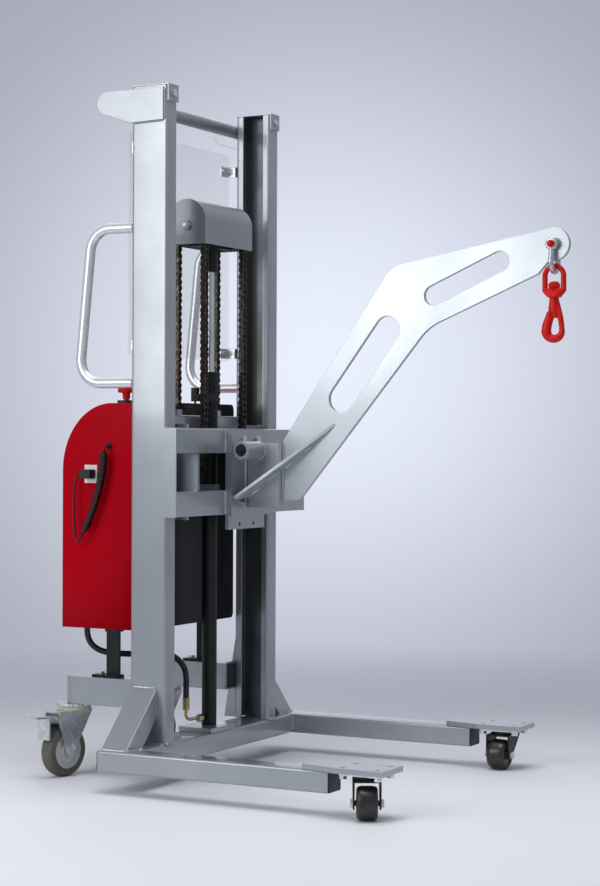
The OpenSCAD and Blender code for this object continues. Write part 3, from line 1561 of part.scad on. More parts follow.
// The swivel eye: a round-bar loop on a boss that the hook's shank turns in
module swivel_eye() {
    cross_h = 14;
    color(bright_red) on_mast() translate([jib_eye[0], 0, 0]) difference() {
        union() {
            translate([0, 0, eye_top_mid_z]) rotate([90, 0, 0]) rotate_extrude(angle = 180)
                translate([eye_mid_r, 0]) circle(d = eye_bar_d, $fn = 32);
            for (s = [-1, 1]) translate([s * eye_mid_r, 0, eye_boss_top - cross_h / 2])
                cylinder(d = eye_bar_d, h = eye_top_mid_z - eye_boss_top + cross_h / 2, $fn = 32);
            plate_xz(eye_bar_d + 4) polygon([
                [-eye_mid_r - eye_bar_d / 2, eye_boss_top], [eye_mid_r + eye_bar_d / 2, eye_boss_top],
                [eye_mid_r + eye_bar_d / 2, eye_boss_top - cross_h / 2], [eye_boss_d / 2, eye_boss_bottom],
                [-eye_boss_d / 2, eye_boss_bottom], [-eye_mid_r - eye_bar_d / 2, eye_boss_top - cross_h / 2]
            ]);
            translate([0, 0, eye_boss_bottom]) cylinder(d = eye_boss_d, h = eye_boss_h);
        }
        translate([0, 0, eye_boss_bottom - 1]) cylinder(d = shank_d + 2 * run_fit, h = eye_boss_h + 2);
    }
}

// The hook's body: headed shank, fork for the jaw, and the finger that closes the throat
module hook_body() {
    fork_y = jaw_cheek + 5;
    finger = [[4, hook_top - 12], [19.5, bowl_z + 12]];
    finger_d = 13;
    color(bright_red) on_mast() translate([jib_eye[0], 0, 0]) difference() {
        union() {
            translate([0, 0, hook_top - 12])
                cylinder(d = shank_d, h = eye_boss_top + move_gap + shank_head_h - hook_top + 12);
            translate([0, 0, eye_boss_top + move_gap]) cylinder(d = shank_head_d, h = shank_head_h);
            translate([0, 0, hook_top - 14]) cylinder(d = 25, h = 14);
            plate_xz(2 * fork_y) polygon([
                [-12, hook_top - 4], [12, hook_top - 4], [14, hook_top - 22], [4, hook_top - 46],
                [-16, hook_top - 46], [-18, hook_top - 30]
            ]);
            rotate([90, 0, 0]) translate(concat(finger[0], [0]))
                rotate([0, 90, heading(finger[1] - finger[0])]) {
                    cylinder(d = finger_d, h = norm(finger[1] - finger[0]), $fn = 32);
                    translate([0, 0, norm(finger[1] - finger[0]) - 2])
                        cylinder(d1 = finger_d - 0.2, d2 = 9, h = 6, $fn = 32);
                }
        }
        translate([jaw_pin_x - jib_reach, 0, jaw_pin_z]) rotate([90, 0, 0])
            cylinder(d = jaw_pin_d + 2 * run_fit, h = 3 * fork_y, center = true);
        translate([-37, -jaw_cheek - move_gap, jaw_pin_z - 40]) cube([40, 2 * (jaw_cheek + move_gap), 53]);
    }
}

// The hook's jaw: a bowl that turns on its pin, with the tip that meets the body's finger
module hook_jaw() {
    back = [-hook_r, bowl_z];
    pin = [jaw_pin_x - jib_reach, jaw_pin_z];
    color(bright_red) on_mast() translate([jib_eye[0], 0, 0]) {
        intersection() {
            union() {
                rotate([90, 0, 0]) {
                    translate([0, bowl_z, 0]) rotate(180) rotate_extrude(angle = 195)
                        translate([hook_r, 0]) circle(d = hook_bar_d, $fn = 32);
                    translate(concat(back, [0])) rotate([0, 90, heading(pin - back)])
                        cylinder(d = hook_bar_d, h = norm(pin - back), $fn = 32);
                    translate(concat(back, [0])) sphere(d = hook_bar_d, $fn = 32);
                }
                translate([pin[0], 0, pin[1]]) rotate([90, 0, 0])
                    cylinder(d = 22, h = 2 * jaw_cheek, center = true);
            }
            union() {
                translate([-60, -jaw_cheek, hook_bottom - 5]) cube([120, 2 * jaw_cheek, 120]);
                translate([-60, -30, hook_bottom - 5]) cube([120, 60, hook_top - 45 - hook_bottom]);
            }
        }
        translate([pin[0], 0, pin[1]]) rotate([90, 0, 0])
            cylinder(d = jaw_pin_d, h = 2 * jaw_cheek + 10, center = true);
    }
}

// The emergency-stop button: a stem, a neck that runs in the collar, and a wide cap
module stop_button() {
    cap_r = stop_cap_d / 2;
    neck_r = stop_neck_d / 2;
    neck_z = stop_travel + move_gap;
    cap_z = stop_h - stop_cap_h;
    color(bright_red) on_mast() translate([stop_x, stop_y, body_top]) rotate_extrude() polygon([
        [0, -stop_stem_d], [stop_stem_d / 2, -stop_stem_d], [stop_stem_d / 2, neck_z], [neck_r, neck_z],
        [neck_r, cap_z], [cap_r - 1.5, cap_z], [cap_r, cap_z + 1.5], [cap_r, stop_h - 3.5],
        [cap_r - 2, stop_h - 0.8], [0, stop_h]
    ]);
}

// The rocker switch that raises and lowers the lift
module lift_rocker() {
    gap = move_gap;
    wide = rocker_size[0] - 6 - 2 * gap;
    color(black_plastic) on_mast() translate([rocker_x, 0, body_top]) {
        plate_xz(rocker_size[1] - 6 - 2 * gap) polygon([
            [-wide / 2 + 1, 3], [-wide / 2 + 1, 6.5], [0, 4.5], [wide / 2 - 1, 6.5], [wide / 2 - 1, 3],
            [6, -6], [-6, -6]
        ]);
        rotate([90, 0, 0]) cylinder(d = rocker_pin_d, h = rocker_size[1] - 1, center = true);
    }
}

if (wanted("base_cross_beam")) base_cross_beam();
if (wanted("base_legs")) base_legs();
if (wanted("leg_plugs")) leg_plugs();
if (wanted("caster_plates")) caster_plates();
if (wanted("mast_braces")) mast_braces();
if (wanted("uprights")) uprights();
if (wanted("top_caps")) top_caps();
if (wanted("frame_bolts")) frame_bolts();
if (wanted("flag_plates")) flag_plates();
if (wanted("top_tie_tube")) top_tie_tube();
if (wanted("rear_cross_bar")) rear_cross_bar();
if (wanted("handles")) handles();
if (wanted("guard_panel")) guard_panel();
if (wanted("guard_brackets")) guard_brackets();
if (wanted("rear_arms")) rear_arms();
if (wanted("housing_brackets")) housing_brackets();
if (wanted("housing_shell")) housing_shell();
if (wanted("housing_chassis")) housing_chassis();
if (wanted("battery")) battery();
if (wanted("power_unit")) power_unit();
if (wanted("panel_fittings")) panel_fittings();
if (wanted("curly_lead")) curly_lead();
if (wanted("charge_plug")) charge_plug();
if (wanted("hydraulic_hose")) hydraulic_hose();
if (wanted("hose_fittings")) hose_fittings();
if (wanted("cylinder_tube")) cylinder_tube();
if (wanted("cylinder_gland")) cylinder_gland();
if (wanted("lift_rocker")) lift_rocker();
if (wanted("chain_rear")) chain_rear();
if (wanted("piston_rod")) piston_rod();
if (wanted("crosshead")) crosshead();
if (wanted("sprocket_cover")) sprocket_cover();
if (wanted("chain_wrap")) chain_wrap();
if (wanted("sprockets")) sprockets();
if (wanted("carriage_bars")) carriage_bars();
if (wanted("roller_plates")) roller_plates();
if (wanted("mount_plate")) mount_plate();
if (wanted("jib_base_plate")) jib_base_plate();
if (wanted("jib_post")) jib_post();
if (wanted("jib_plate")) jib_plate();
if (wanted("jib_ribs")) jib_ribs();
if (wanted("jib_bolts")) jib_bolts();
if (wanted("chain_front")) chain_front();
if (wanted("upper_rollers")) upper_rollers();
if (wanted("lower_rollers")) lower_rollers();
if (wanted("yoke_front_right")) yoke_front_right();
if (wanted("yoke_front_left")) yoke_front_left();
if (wanted("yoke_rear_right")) yoke_rear_right();
if (wanted("yoke_rear_left")) yoke_rear_left();
if (wanted("wheel_front_right")) wheel_front_right();
if (wanted("wheel_front_left")) wheel_front_left();
if (wanted("wheel_rear_right")) wheel_rear_right();
if (wanted("wheel_rear_left")) wheel_rear_left();
if (wanted("pedal_right")) pedal_right();
if (wanted("pedal_left")) pedal_left();
if (wanted("shackle")) shackle();
if (wanted("swivel_eye")) swivel_eye();
if (wanted("hook_body")) hook_body();
if (wanted("hook_jaw")) hook_jaw();
if (wanted("stop_button")) stop_button();
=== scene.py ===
"""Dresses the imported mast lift: eased steel, roller chains, casters, swivel hook, cords and finishes."""

import json
import math

import bmesh
import bpy
import numpy as np
from mathutils import Matrix, Vector


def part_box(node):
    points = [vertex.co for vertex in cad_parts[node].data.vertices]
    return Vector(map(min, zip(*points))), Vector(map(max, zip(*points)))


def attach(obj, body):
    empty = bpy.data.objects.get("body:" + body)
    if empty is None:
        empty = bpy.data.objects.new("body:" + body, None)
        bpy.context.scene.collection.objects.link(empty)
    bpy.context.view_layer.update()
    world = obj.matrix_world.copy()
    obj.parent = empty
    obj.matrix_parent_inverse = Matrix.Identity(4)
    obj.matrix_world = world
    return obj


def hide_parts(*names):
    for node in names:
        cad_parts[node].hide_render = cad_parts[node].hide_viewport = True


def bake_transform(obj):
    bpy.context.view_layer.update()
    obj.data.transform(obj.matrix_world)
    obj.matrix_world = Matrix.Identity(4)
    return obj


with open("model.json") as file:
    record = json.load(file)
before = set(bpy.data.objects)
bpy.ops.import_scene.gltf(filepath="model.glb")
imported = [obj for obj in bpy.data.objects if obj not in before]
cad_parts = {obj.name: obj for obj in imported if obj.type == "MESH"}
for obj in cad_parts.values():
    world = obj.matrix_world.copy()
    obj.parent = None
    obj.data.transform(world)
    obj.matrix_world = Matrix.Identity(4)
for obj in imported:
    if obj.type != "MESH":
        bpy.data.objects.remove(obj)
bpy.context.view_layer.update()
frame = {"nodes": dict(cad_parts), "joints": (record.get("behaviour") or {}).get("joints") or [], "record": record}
joints = {j["name"]: j for j in frame["joints"]}
body_of = {node: body for body, nodes in frame["record"]["behaviour"]["bodies"].items() for node in nodes}
slot_of = {s["node"]: s["material_slot"] for s in frame["record"]["subparts"]}

# Shared places: MAST_FRONT in metres, the others in millimetres from the uprights' front faces
MAST_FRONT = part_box("uprights")[1][0]
CHAIN_PITCH = 15.875
SPROCKET_RADIUS = 38.178
SPROCKET_TEETH, PINS_ON_SPROCKET = 15, 8
CHAIN_Y = 94.0
AXLE = np.array([-41.5, 0.0, 1346.0])
REAR_CHAIN_FOOT = 897.0
FRONT_CHAIN_FOOT = 714.0
EYE = np.array([868.0, 0.0, 1271.0])
HOUSING_Y = 223.0
HANDLE_Y, HANDLE_TOP, HANDLE_FOOT = 255, 1330, 958

# Places in the part's frame, in metres, that divide one node's faces between two finishes, and the uprights' faces
# between paint and painted shade
CROSSHEAD_SIDE = 0.1158
CYLINDER_FOOT_TOP = 0.125
CASTER_PLATE_MIDDLE, CASTER_PLATE_HALF = 0.106, 0.0068
ELBOW_TOP = 0.1555
RACE_FOOT = 0.1609
SOCKET_MIDDLE, SOCKET_HALF = 0.738, 0.03
BRACKET_BACK = -0.38
AXLE_HEAD_RADIUS, YOKE_SIDE = 0.009, 0.031
# The inside of each upright's channel, which gets a darker paint as painted shade
SHADED_CHANNEL_MIDDLE, SHADED_CHANNEL_HALF = 0.25, 0.0187
UPRIGHT_MIDDLE, UPRIGHT_HALF = MAST_FRONT - 0.05, 0.0465


def place(points):
    """Points in millimetres from the uprights' front faces, as metres in the part's frame."""
    moved = np.array(points, float) / 1000
    moved[..., 0] += MAST_FRONT
    return moved


# Camera, at the photograph's viewing angle
CAMERA_AT = (2519.2, -4334.0, 819.7)
CAMERA_YAW, CAMERA_PITCH, CAMERA_ROLL = np.radians([28.024, -0.051, 0.21])
CAMERA_LENS, CAMERA_SENSOR = 81.967, 36.0


def add_camera():
    """A camera that looks along the yaw and pitch, with its roll about that line."""
    ahead = np.array([
        -math.sin(CAMERA_YAW) * math.cos(CAMERA_PITCH),
        math.cos(CAMERA_YAW) * math.cos(CAMERA_PITCH),
        math.sin(CAMERA_PITCH),
    ])
    level = np.array([math.cos(CAMERA_YAW), math.sin(CAMERA_YAW), 0.0])
    up = np.cross(level, ahead)
    right = math.cos(CAMERA_ROLL) * level + math.sin(CAMERA_ROLL) * up
    top = -math.sin(CAMERA_ROLL) * level + math.cos(CAMERA_ROLL) * up
    data = bpy.data.cameras.new("camera")
    data.lens, data.sensor_width = CAMERA_LENS, CAMERA_SENSOR
    data.clip_end = 60
    camera = bpy.data.objects.new("camera", data)
    turned = np.eye(4)
    turned[:3, 0], turned[:3, 1], turned[:3, 2] = right, top, -ahead
    turned[:3, 3] = place(CAMERA_AT)
    camera.matrix_world = Matrix(turned.tolist())
    bpy.context.scene.collection.objects.link(camera)
    bpy.context.scene.camera = camera


add_camera()


# Materials


def linear(code):
    """A colour written as a hex code, as linear values with full alpha."""
    value = np.array([int(code[i:i + 2], 16) for i in (1, 3, 5)]) / 255
    value = np.where(value <= 0.04045, value / 12.92, ((value + 0.055) / 1.055) ** 2.4)
    return (*value.tolist(), 1.0)


def add_node(tree, kind, values=(), **settings):
    """A shader node with its settings and its inputs' values, given as pairs of input and value."""
    made = tree.nodes.new(kind)
    for name, value in settings.items():
        setattr(made, name, value)
    for socket, value in dict(values).items():
        made.inputs[socket].default_value = value
    return made


def new_group(name, inputs, outputs):
    """An empty shader node group with its sockets, given as pairs of name and kind."""
    group = bpy.data.node_groups.new(name, "ShaderNodeTree")
    for label, kind in inputs:
        group.interface.new_socket(label, in_out="INPUT", socket_type="NodeSocket" + kind)
    for label, kind in outputs:
        group.interface.new_socket(label, in_out="OUTPUT", socket_type="NodeSocket" + kind)
    return group, add_node(group, "NodeGroupInput"), add_node(group, "NodeGroupOutput")


def make_coat_group():
    """Colour that drifts in soft patches and fine grain: roughness and height follow the grain."""
    group, given, out = new_group(
        "coat_drift",
        [("Vector", "Vector"), ("Colour", "Color"), ("Shade", "Color"), ("Roughness", "Float"),
         ("Spread", "Float"), ("Patch Scale", "Float"), ("Grain Scale", "Float"), ("Grain", "Float")],
        [("Colour", "Color"), ("Roughness", "Float"), ("Height", "Float")],
    )
    link = group.links.new
    patch = add_node(group, "ShaderNodeTexNoise", {"Detail": 4.0, "Roughness": 0.55})
    grain = add_node(group, "ShaderNodeTexNoise", {"Detail": 2.0, "Roughness": 0.6})
    for texture, scale in ((patch, "Patch Scale"), (grain, "Grain Scale")):
        link(given.outputs["Vector"], texture.inputs["Vector"])
        link(given.outputs[scale], texture.inputs["Scale"])
    ramp = add_node(group, "ShaderNodeMapRange", {"From Min": 0.3, "From Max": 0.7})
    link(patch.outputs["Fac"], ramp.inputs["Value"])
    speck = add_node(group, "ShaderNodeMath", operation="MULTIPLY_ADD")
    link(grain.outputs["Fac"], speck.inputs[0])
    link(given.outputs["Grain"], speck.inputs[1])
    link(ramp.outputs["Result"], speck.inputs[2])
    mix = add_node(group, "ShaderNodeMix", data_type="RGBA")
    link(speck.outputs[0], mix.inputs[0])
    link(given.outputs["Colour"], mix.inputs[6])
    link(given.outputs["Shade"], mix.inputs[7])
    drift = add_node(group, "ShaderNodeMath", {1: 0.5}, operation="SUBTRACT")
    link(speck.outputs[0], drift.inputs[0])
    rough = add_node(group, "ShaderNodeMath", operation="MULTIPLY_ADD", use_clamp=True)
    link(drift.outputs[0], rough.inputs[0])
    link(given.outputs["Spread"], rough.inputs[1])
    link(given.outputs["Roughness"], rough.inputs[2])
    link(mix.outputs[2], out.inputs["Colour"])
    link(rough.outputs[0], out.inputs["Roughness"])
    link(grain.outputs["Fac"], out.inputs["Height"])
    return group


COAT = make_coat_group()


def finish_of(name, colour, shade, roughness, metallic=0.0, coat=0.0, spread=0.12, patch=6.0,
              grain=(900.0, 0.1), bump=(0.1, 0.0002), alpha=1.0, specular=0.5):
    """A material whose colour, roughness and bump come from the coat group, each with its own values."""
    material = bpy.data.materials.new(name)
    material.use_nodes = True
    tree = material.node_tree
    shader = tree.nodes["Principled BSDF"]
    shader.inputs["Metallic"].default_value = metallic
    shader.inputs["Coat Weight"].default_value = coat
    shader.inputs["Coat Roughness"].default_value = 0.06
    shader.inputs["Specular IOR Level"].default_value = specular
    shader.inputs["Alpha"].default_value = alpha
    where = add_node(tree, "ShaderNodeTexCoord")
    drift = add_node(tree, "ShaderNodeGroup", node_tree=COAT)
    for socket, value in (("Colour", linear(colour)), ("Shade", linear(shade)), ("Roughness", roughness),
                          ("Spread", spread), ("Patch Scale", patch), ("Grain Scale", grain[0]),
                          ("Grain", grain[1])):
        drift.inputs[socket].default_value = value
    relief = add_node(tree, "ShaderNodeBump", {"Strength": bump[0], "Distance": bump[1]})
    link = tree.links.new
    link(where.outputs["Object"], drift.inputs["Vector"])
    link(drift.outputs["Colour"], shader.inputs["Base Color"])
    link(drift.outputs["Roughness"], shader.inputs["Roughness"])
    link(drift.outputs["Height"], relief.inputs["Height"])
    link(relief.outputs["Normal"], shader.inputs["Normal"])
    return material


silver_paint = finish_of("silver_paint", "#a7adb3", "#989ea5", 0.32, metallic=0.55, coat=0.9, spread=0.1,
                         patch=5.0, grain=(1600.0, 0.18))
jib_paint = finish_of("jib_paint", "#bec4ca", "#b2b8be", 0.28, metallic=0.55, coat=0.05, spread=0.1,
                      patch=4.0, grain=(1600.0, 0.18))
# A lighter copy of the silver paint for the handle tubes: painted light, where the handles catch more light
handle_lit_paint = finish_of("handle_lit_paint", "#e4e8eb", "#d8dce0", 0.25, metallic=0.55, coat=0.3, spread=0.1,
                         patch=5.0, grain=(1600.0, 0.18))
grey_paint = finish_of("grey_paint", "#959ba2", "#898f96", 0.36, metallic=0.4, coat=0.3, spread=0.1,
                       grain=(1400.0, 0.15))
# A darker copy of the uprights' paint for the faces inside their channels: painted shade
channel_shade_paint = finish_of("channel_shade_paint", "#686c70", "#54585c", 0.38, metallic=0.55, coat=0.3, spread=0.2,
                        patch=12.0)
zinc = finish_of("zinc", "#e4e7e7", "#c3c8c9", 0.25, metallic=0.95, spread=0.25, patch=60.0,
                 grain=(1200.0, 0.3))
galvanised = finish_of("galvanised", "#dde1e3", "#b7bdc1", 0.27, metallic=0.9, spread=0.3, patch=110.0,
                       grain=(1500.0, 0.3), bump=(0.2, 0.0004))
chrome = finish_of("chrome", "#d9dcdf", "#c6cacd", 0.12, metallic=1.0, spread=0.08, patch=20.0,
                   grain=(900.0, 0.1))
dark_steel = finish_of("dark_steel", "#3a3733", "#221f1c", 0.38, metallic=0.75, spread=0.3, patch=120.0,
                       grain=(1500.0, 0.4))
chain_steel = finish_of("chain_steel", "#7a726b", "#3d3732", 0.32, metallic=0.85, spread=0.3, patch=140.0,
                        grain=(1500.0, 0.4))
black_paint = finish_of("black_paint", "#101113", "#0a0b0c", 0.42, spread=0.15, patch=8.0,
                        grain=(1200.0, 0.2), bump=(0.15, 0.0003), specular=0.35)
red_paint = finish_of("red_paint", "#c4001a", "#b00014", 0.34, spread=0.1, patch=3.0,
                      grain=(700.0, 0.12), bump=(0.08, 0.0002), specular=0.05)
red_steel = finish_of("red_steel", "#ea1d14", "#cf120b", 0.34, spread=0.2, patch=90.0,
                      grain=(900.0, 0.25), bump=(0.3, 0.0005), specular=0.25)
red_plastic = finish_of("red_plastic", "#ea1b14", "#d8140e", 0.3, spread=0.1, patch=40.0, specular=0.25)
black_plastic = finish_of("black_plastic", "#1d1e20", "#151618", 0.5, spread=0.12, patch=30.0,
                          grain=(1800.0, 0.3), bump=(0.25, 0.0003))
black_rubber = finish_of("black_rubber", "#0d0d0e", "#080809", 0.34, spread=0.15, patch=30.0,
                         grain=(1500.0, 0.3), bump=(0.2, 0.0003))
white_plastic = finish_of("white_plastic", "#f7f7f4", "#eeeeea", 0.4, spread=0.08, patch=30.0)
ivory_plastic = finish_of("ivory_plastic", "#d9d4bf", "#c6bfa6", 0.45, spread=0.1, patch=40.0)
tread_rubber = finish_of("tread_rubber", "#6e6b63", "#57544d", 0.6, spread=0.2, patch=25.0,
                         grain=(900.0, 0.35), bump=(0.35, 0.0005))
wheel_rim = finish_of("wheel_rim", "#c9cac9", "#b7b8b7", 0.4, spread=0.12, patch=30.0)
front_tread = finish_of("front_tread", "#342d2a", "#1f1b19", 0.26, spread=0.25, patch=50.0,
                        grain=(900.0, 0.35))
brass_plate = finish_of("brass_plate", "#c0b083", "#957f4c", 0.32, metallic=0.85, spread=0.25, patch=80.0,
                        grain=(1200.0, 0.3))
plated_pipe = finish_of("plated_pipe", "#c9c09c", "#a69c78", 0.3, metallic=0.85, spread=0.25, patch=80.0,
                        grain=(1200.0, 0.3))
# Lighter than the frame's silver paint, so the beads show bright: a painted highlight on the weld beads
weld_highlight_paint = finish_of("weld_highlight_paint", "#b8bec4", "#9fa5ab", 0.27, metallic=0.6, coat=0.6, spread=0.25,
                       patch=70.0, grain=(1200.0, 0.3), bump=(0.3, 0.0005))
clear_sheet = finish_of("clear_sheet", "#e6edf2", "#dde6ec", 0.08, spread=0.04, patch=3.0,
                        grain=(300.0, 0.05), alpha=0.12)


# Mesh building


def grid_quads(rows, columns, wrap_rows=False, wrap_columns=False):
    """The quads between neighbours of a grid of points, joined end to end where a direction wraps."""
    i = np.arange(rows if wrap_rows else rows - 1)[:, None]
    j = np.arange(columns if wrap_columns else columns - 1)[None, :]
    i1, j1 = (i + 1) % rows, (j + 1) % columns
    corners = [i * columns + j, i * columns + j1, i1 * columns + j1, i1 * columns + j]
    return np.stack(np.broadcast_arrays(*corners), -1).reshape(-1, 4)


def add_piece(name, points, faces, material, body=None, slot=None, replaces=(), sharp=35.0, outward=True):
    """An object from points in the part's frame and lists of corners, shaded smooth below an angle."""
    mesh = bpy.data.meshes.new(name)
    mesh.from_pydata(np.reshape(points, (-1, 3)).tolist(), [], [list(map(int, f)) for f in faces])
    if outward:
        work = bmesh.new()
        work.from_mesh(mesh)
        bmesh.ops.remove_doubles(work, verts=work.verts, dist=1e-6)
        bmesh.ops.recalc_face_normals(work, faces=work.faces)
        work.to_mesh(mesh)
        work.free()
    mesh.polygons.foreach_set("use_smooth", np.ones(len(mesh.polygons), bool))
    mesh.set_sharp_from_angle(angle=math.radians(sharp))
    made = bpy.data.objects.new(name, mesh)
    bpy.context.scene.collection.objects.link(made)
    for one in material if isinstance(material, (list, tuple)) else [material]:
        mesh.materials.append(one)
    if body:
        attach(made, body)
    if replaces:
        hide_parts(*replaces)
    return made


def closed_tube(rings):
    """Faces of a tube from rings of points: quads between neighbours and a flat cap on each end."""
    rows, columns = rings.shape[:2]
    ends = [list(range(columns))[::-1], list(range((rows - 1) * columns, rows * columns))]
    return grid_quads(rows, columns, wrap_columns=True).tolist() + ends


def turned(profile, centre, axis, segments=64):
    """A profile of radius and height, turned about an axis through a centre, as rings of points."""
    axis = np.array(axis, float) / np.linalg.norm(axis)
    side = np.cross(axis, [0.0, 0.0, 1.0] if abs(axis[2]) < 0.9 else [1.0, 0.0, 0.0])
    side /= np.linalg.norm(side)
    over = np.cross(axis, side)
    angle = np.linspace(0, 2 * np.pi, segments, endpoint=False)
    around = np.cos(angle)[:, None] * side + np.sin(angle)[:, None] * over
    radius, height = np.array(profile, float).T
    return np.array(centre) + radius[:, None, None] * around + height[:, None, None] * axis


def add_turned(name, profile, centre, axis, material, segments=64, **rest):
    """A turned piece: profile in millimetres, centre in the part's frame in metres."""
    rings = turned(np.array(profile, float) / 1000, centre, axis, segments)
    return add_piece(name, rings, closed_tube(rings), material, **rest)


def swept(path, radius, sides=16, flat=1.0, across=(0.0, 1.0, 0.0)):
    """Rings of an ellipse carried along a path across one direction: its radius may change."""
    path = np.array(path, float)
    along = np.gradient(path, axis=0)
    along /= np.linalg.norm(along, axis=1, keepdims=True)
    across = np.array(across, float)
    over = np.cross(along, across)
    over /= np.linalg.norm(over, axis=1, keepdims=True)
    angle = np.linspace(0, 2 * np.pi, sides, endpoint=False)
    radius = np.broadcast_to(radius, len(path))[:, None, None]
    turn = np.cos(angle)[None, :, None] * over[:, None, :] + flat * np.sin(angle)[None, :, None] * across
    return path[:, None, :] + radius * turn


def smooth_path(points, count):
    """A smooth curve through a few points, by a cubic between each pair, at even steps of its parameter."""
    points = np.array(points, float)
    padded = np.concatenate([[2 * points[0] - points[1]], points, [2 * points[-1] - points[-2]]])
    at = np.linspace(0, len(points) - 1 - 1e-9, count)
    i = at.astype(int)
    t = (at - i)[:, None]
    a, b, c, d = (padded[i + k] for k in range(4))
    first = (c - a) * t
    second = (2 * a - 5 * b + 4 * c - d) * t ** 2
    third = (3 * b - a - 3 * c + d) * t ** 3
    return 0.5 * (2 * b + first + second + third)


def copies(base_points, base_faces, moves):
    """One shape repeated: moves is a list of 4 by 4 placings, applied to all points at once."""
    base_points = np.array(base_points, float)
    moves = np.array(moves, float)
    points = np.einsum("nij,vj->nvi", moves[:, :3, :3], base_points) + moves[:, None, :3, 3]
    step = np.arange(len(moves)) * len(base_points)
    faces = [[int(k) + int(s) for k in f] for s in step for f in base_faces]
    return points.reshape(-1, 3), faces


def eased(node, width, material, marked=None, limit=28.0):
    """A copy of a CAD node: flat faces joined, sharp edges rounded to a width in millimetres.

    Where marked is given, it takes the faces' middles and says which of them get the second material."""
    mesh = frame["nodes"][node].data.copy()
    mesh.name = node + "_eased"
    work = bmesh.new()
    work.from_mesh(mesh)
    bmesh.ops.remove_doubles(work, verts=work.verts, dist=1e-5)
    bmesh.ops.dissolve_limit(work, angle_limit=math.radians(1), verts=work.verts, edges=work.edges)
    work.to_mesh(mesh)
    work.free()
    count = len(mesh.polygons)
    mesh.polygons.foreach_set("use_smooth", np.ones(count, bool))
    mesh.set_sharp_from_angle(angle=math.radians(limit))
    mesh.materials.clear()
    for one in material if isinstance(material, (list, tuple)) else [material]:
        mesh.materials.append(one)
    if marked:
        middles = np.empty(count * 3)
        mesh.polygons.foreach_get("center", middles)
        mesh.polygons.foreach_set("material_index", marked(middles.reshape(-1, 3)).astype(np.int32))
    else:
        mesh.polygons.foreach_set("material_index", np.zeros(count, np.int32))
    made = bpy.data.objects.new(mesh.name, mesh)
    bpy.context.scene.collection.objects.link(made)
    if width > 0:
        bevel = made.modifiers.new("rounded_edges", "BEVEL")
        bevel.width = width / 1000
        bevel.segments = 2
        bevel.limit_method = "ANGLE"
        bevel.angle_limit = math.radians(limit)
        bevel.harden_normals = True
    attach(made, body_of[node])
    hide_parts(node)
    return made


# Cords: the curly charging lead and the hydraulic hose


def add_cord(name, points, diameter, material, node):
    """A round cord along points in the part's frame, as a curve of one open run."""
    data = bpy.data.curves.new(name, "CURVE")
    data.dimensions = "3D"
    data.bevel_depth = diameter / 2
    data.bevel_resolution = 4
    data.use_fill_caps = True
    run = data.splines.new("POLY")
    run.points.add(len(points) - 1)
    run.points.foreach_set("co", np.c_[points, np.ones(len(points))].ravel())
    run.use_smooth = True
    data.materials.append(material)
    made = bpy.data.objects.new(name, data)
    bpy.context.scene.collection.objects.link(made)
    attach(made, body_of[node])
    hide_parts(node)
    return made


def lead_points(turns=34, steps=16, radius=7.9):
    """Out of the gland, down a bowed helix whose turns open and close over one turn, and up to the plug."""
    out = -HOUSING_Y
    start = [[-193, out - 8, 806], [-193, out - 14, 806], [-193.4, out - 19, 803.6],
             [-194.2, out - 21.6, 799]]
    finish = [
        [-260, out - 22, 583], [-266, out - 22, 575], [-272, out - 22, 574], [-277, out - 22, 581],
        [-280, out - 22, 602], [-282, out - 21, 632], [-284, out - 20, 664], [-284, out - 18, 692],
        [-283, out - 16, 713], [-279, out - 15, 728], [-273, out - 15, 736], [-267, out - 15, 738],
    ]
    top, end = np.array([-195.4, out - 22, 793]), np.array([-254, out - 22, 596])
    bow = np.array([56, 0, 16])
    count = turns * steps
    i = np.arange(count + 1)
    near_end = np.clip(np.minimum(i, count - i) / steps, 0, 1)
    reach = radius * near_end ** 2 * (3 - 2 * near_end)
    axis = (end - top) / np.linalg.norm(end - top)
    side = np.array([0.0, -1.0, 0.0])
    over = np.cross(axis, side)
    angle = 2 * np.pi * i / steps
    t = (i / count)[:, None]
    coil = top + (end - top) * t + bow * t * (1 - t)
    coil += (reach * np.cos(angle))[:, None] * side + (reach * np.sin(angle))[:, None] * over
    return place(np.concatenate([start, coil, finish]))


HOSE_ROUTE = [
    [-285, -180, 361], [-285, -180, 346], [-281, -178, 327], [-270, -173, 311], [-252, -164, 300],
    [-225, -151, 295], [-190, -134, 293], [-152, -116, 294], [-122, -102, 296], [-99, -90, 291],
    [-80, -82, 278], [-68, -76, 258], [-64, -74, 234], [-64, -74, 210], [-64, -74, 186],
]

LEAD_DIAMETER, HOSE_DIAMETER = 0.0052, 0.015

lead = lead_points()
charging_lead = add_cord("charging_lead", lead, LEAD_DIAMETER, black_rubber, "curly_lead")
plug = eased("charge_plug", 1.6, black_plastic)
hose = smooth_path(place(HOSE_ROUTE), 40)
pump_hose = add_cord("pump_hose", hose, HOSE_DIAMETER, black_rubber, "hydraulic_hose")
pipe_end = eased("hose_fittings", 0.6, [brass_plate, plated_pipe], lambda at: at[:, 2] < ELBOW_TOP)

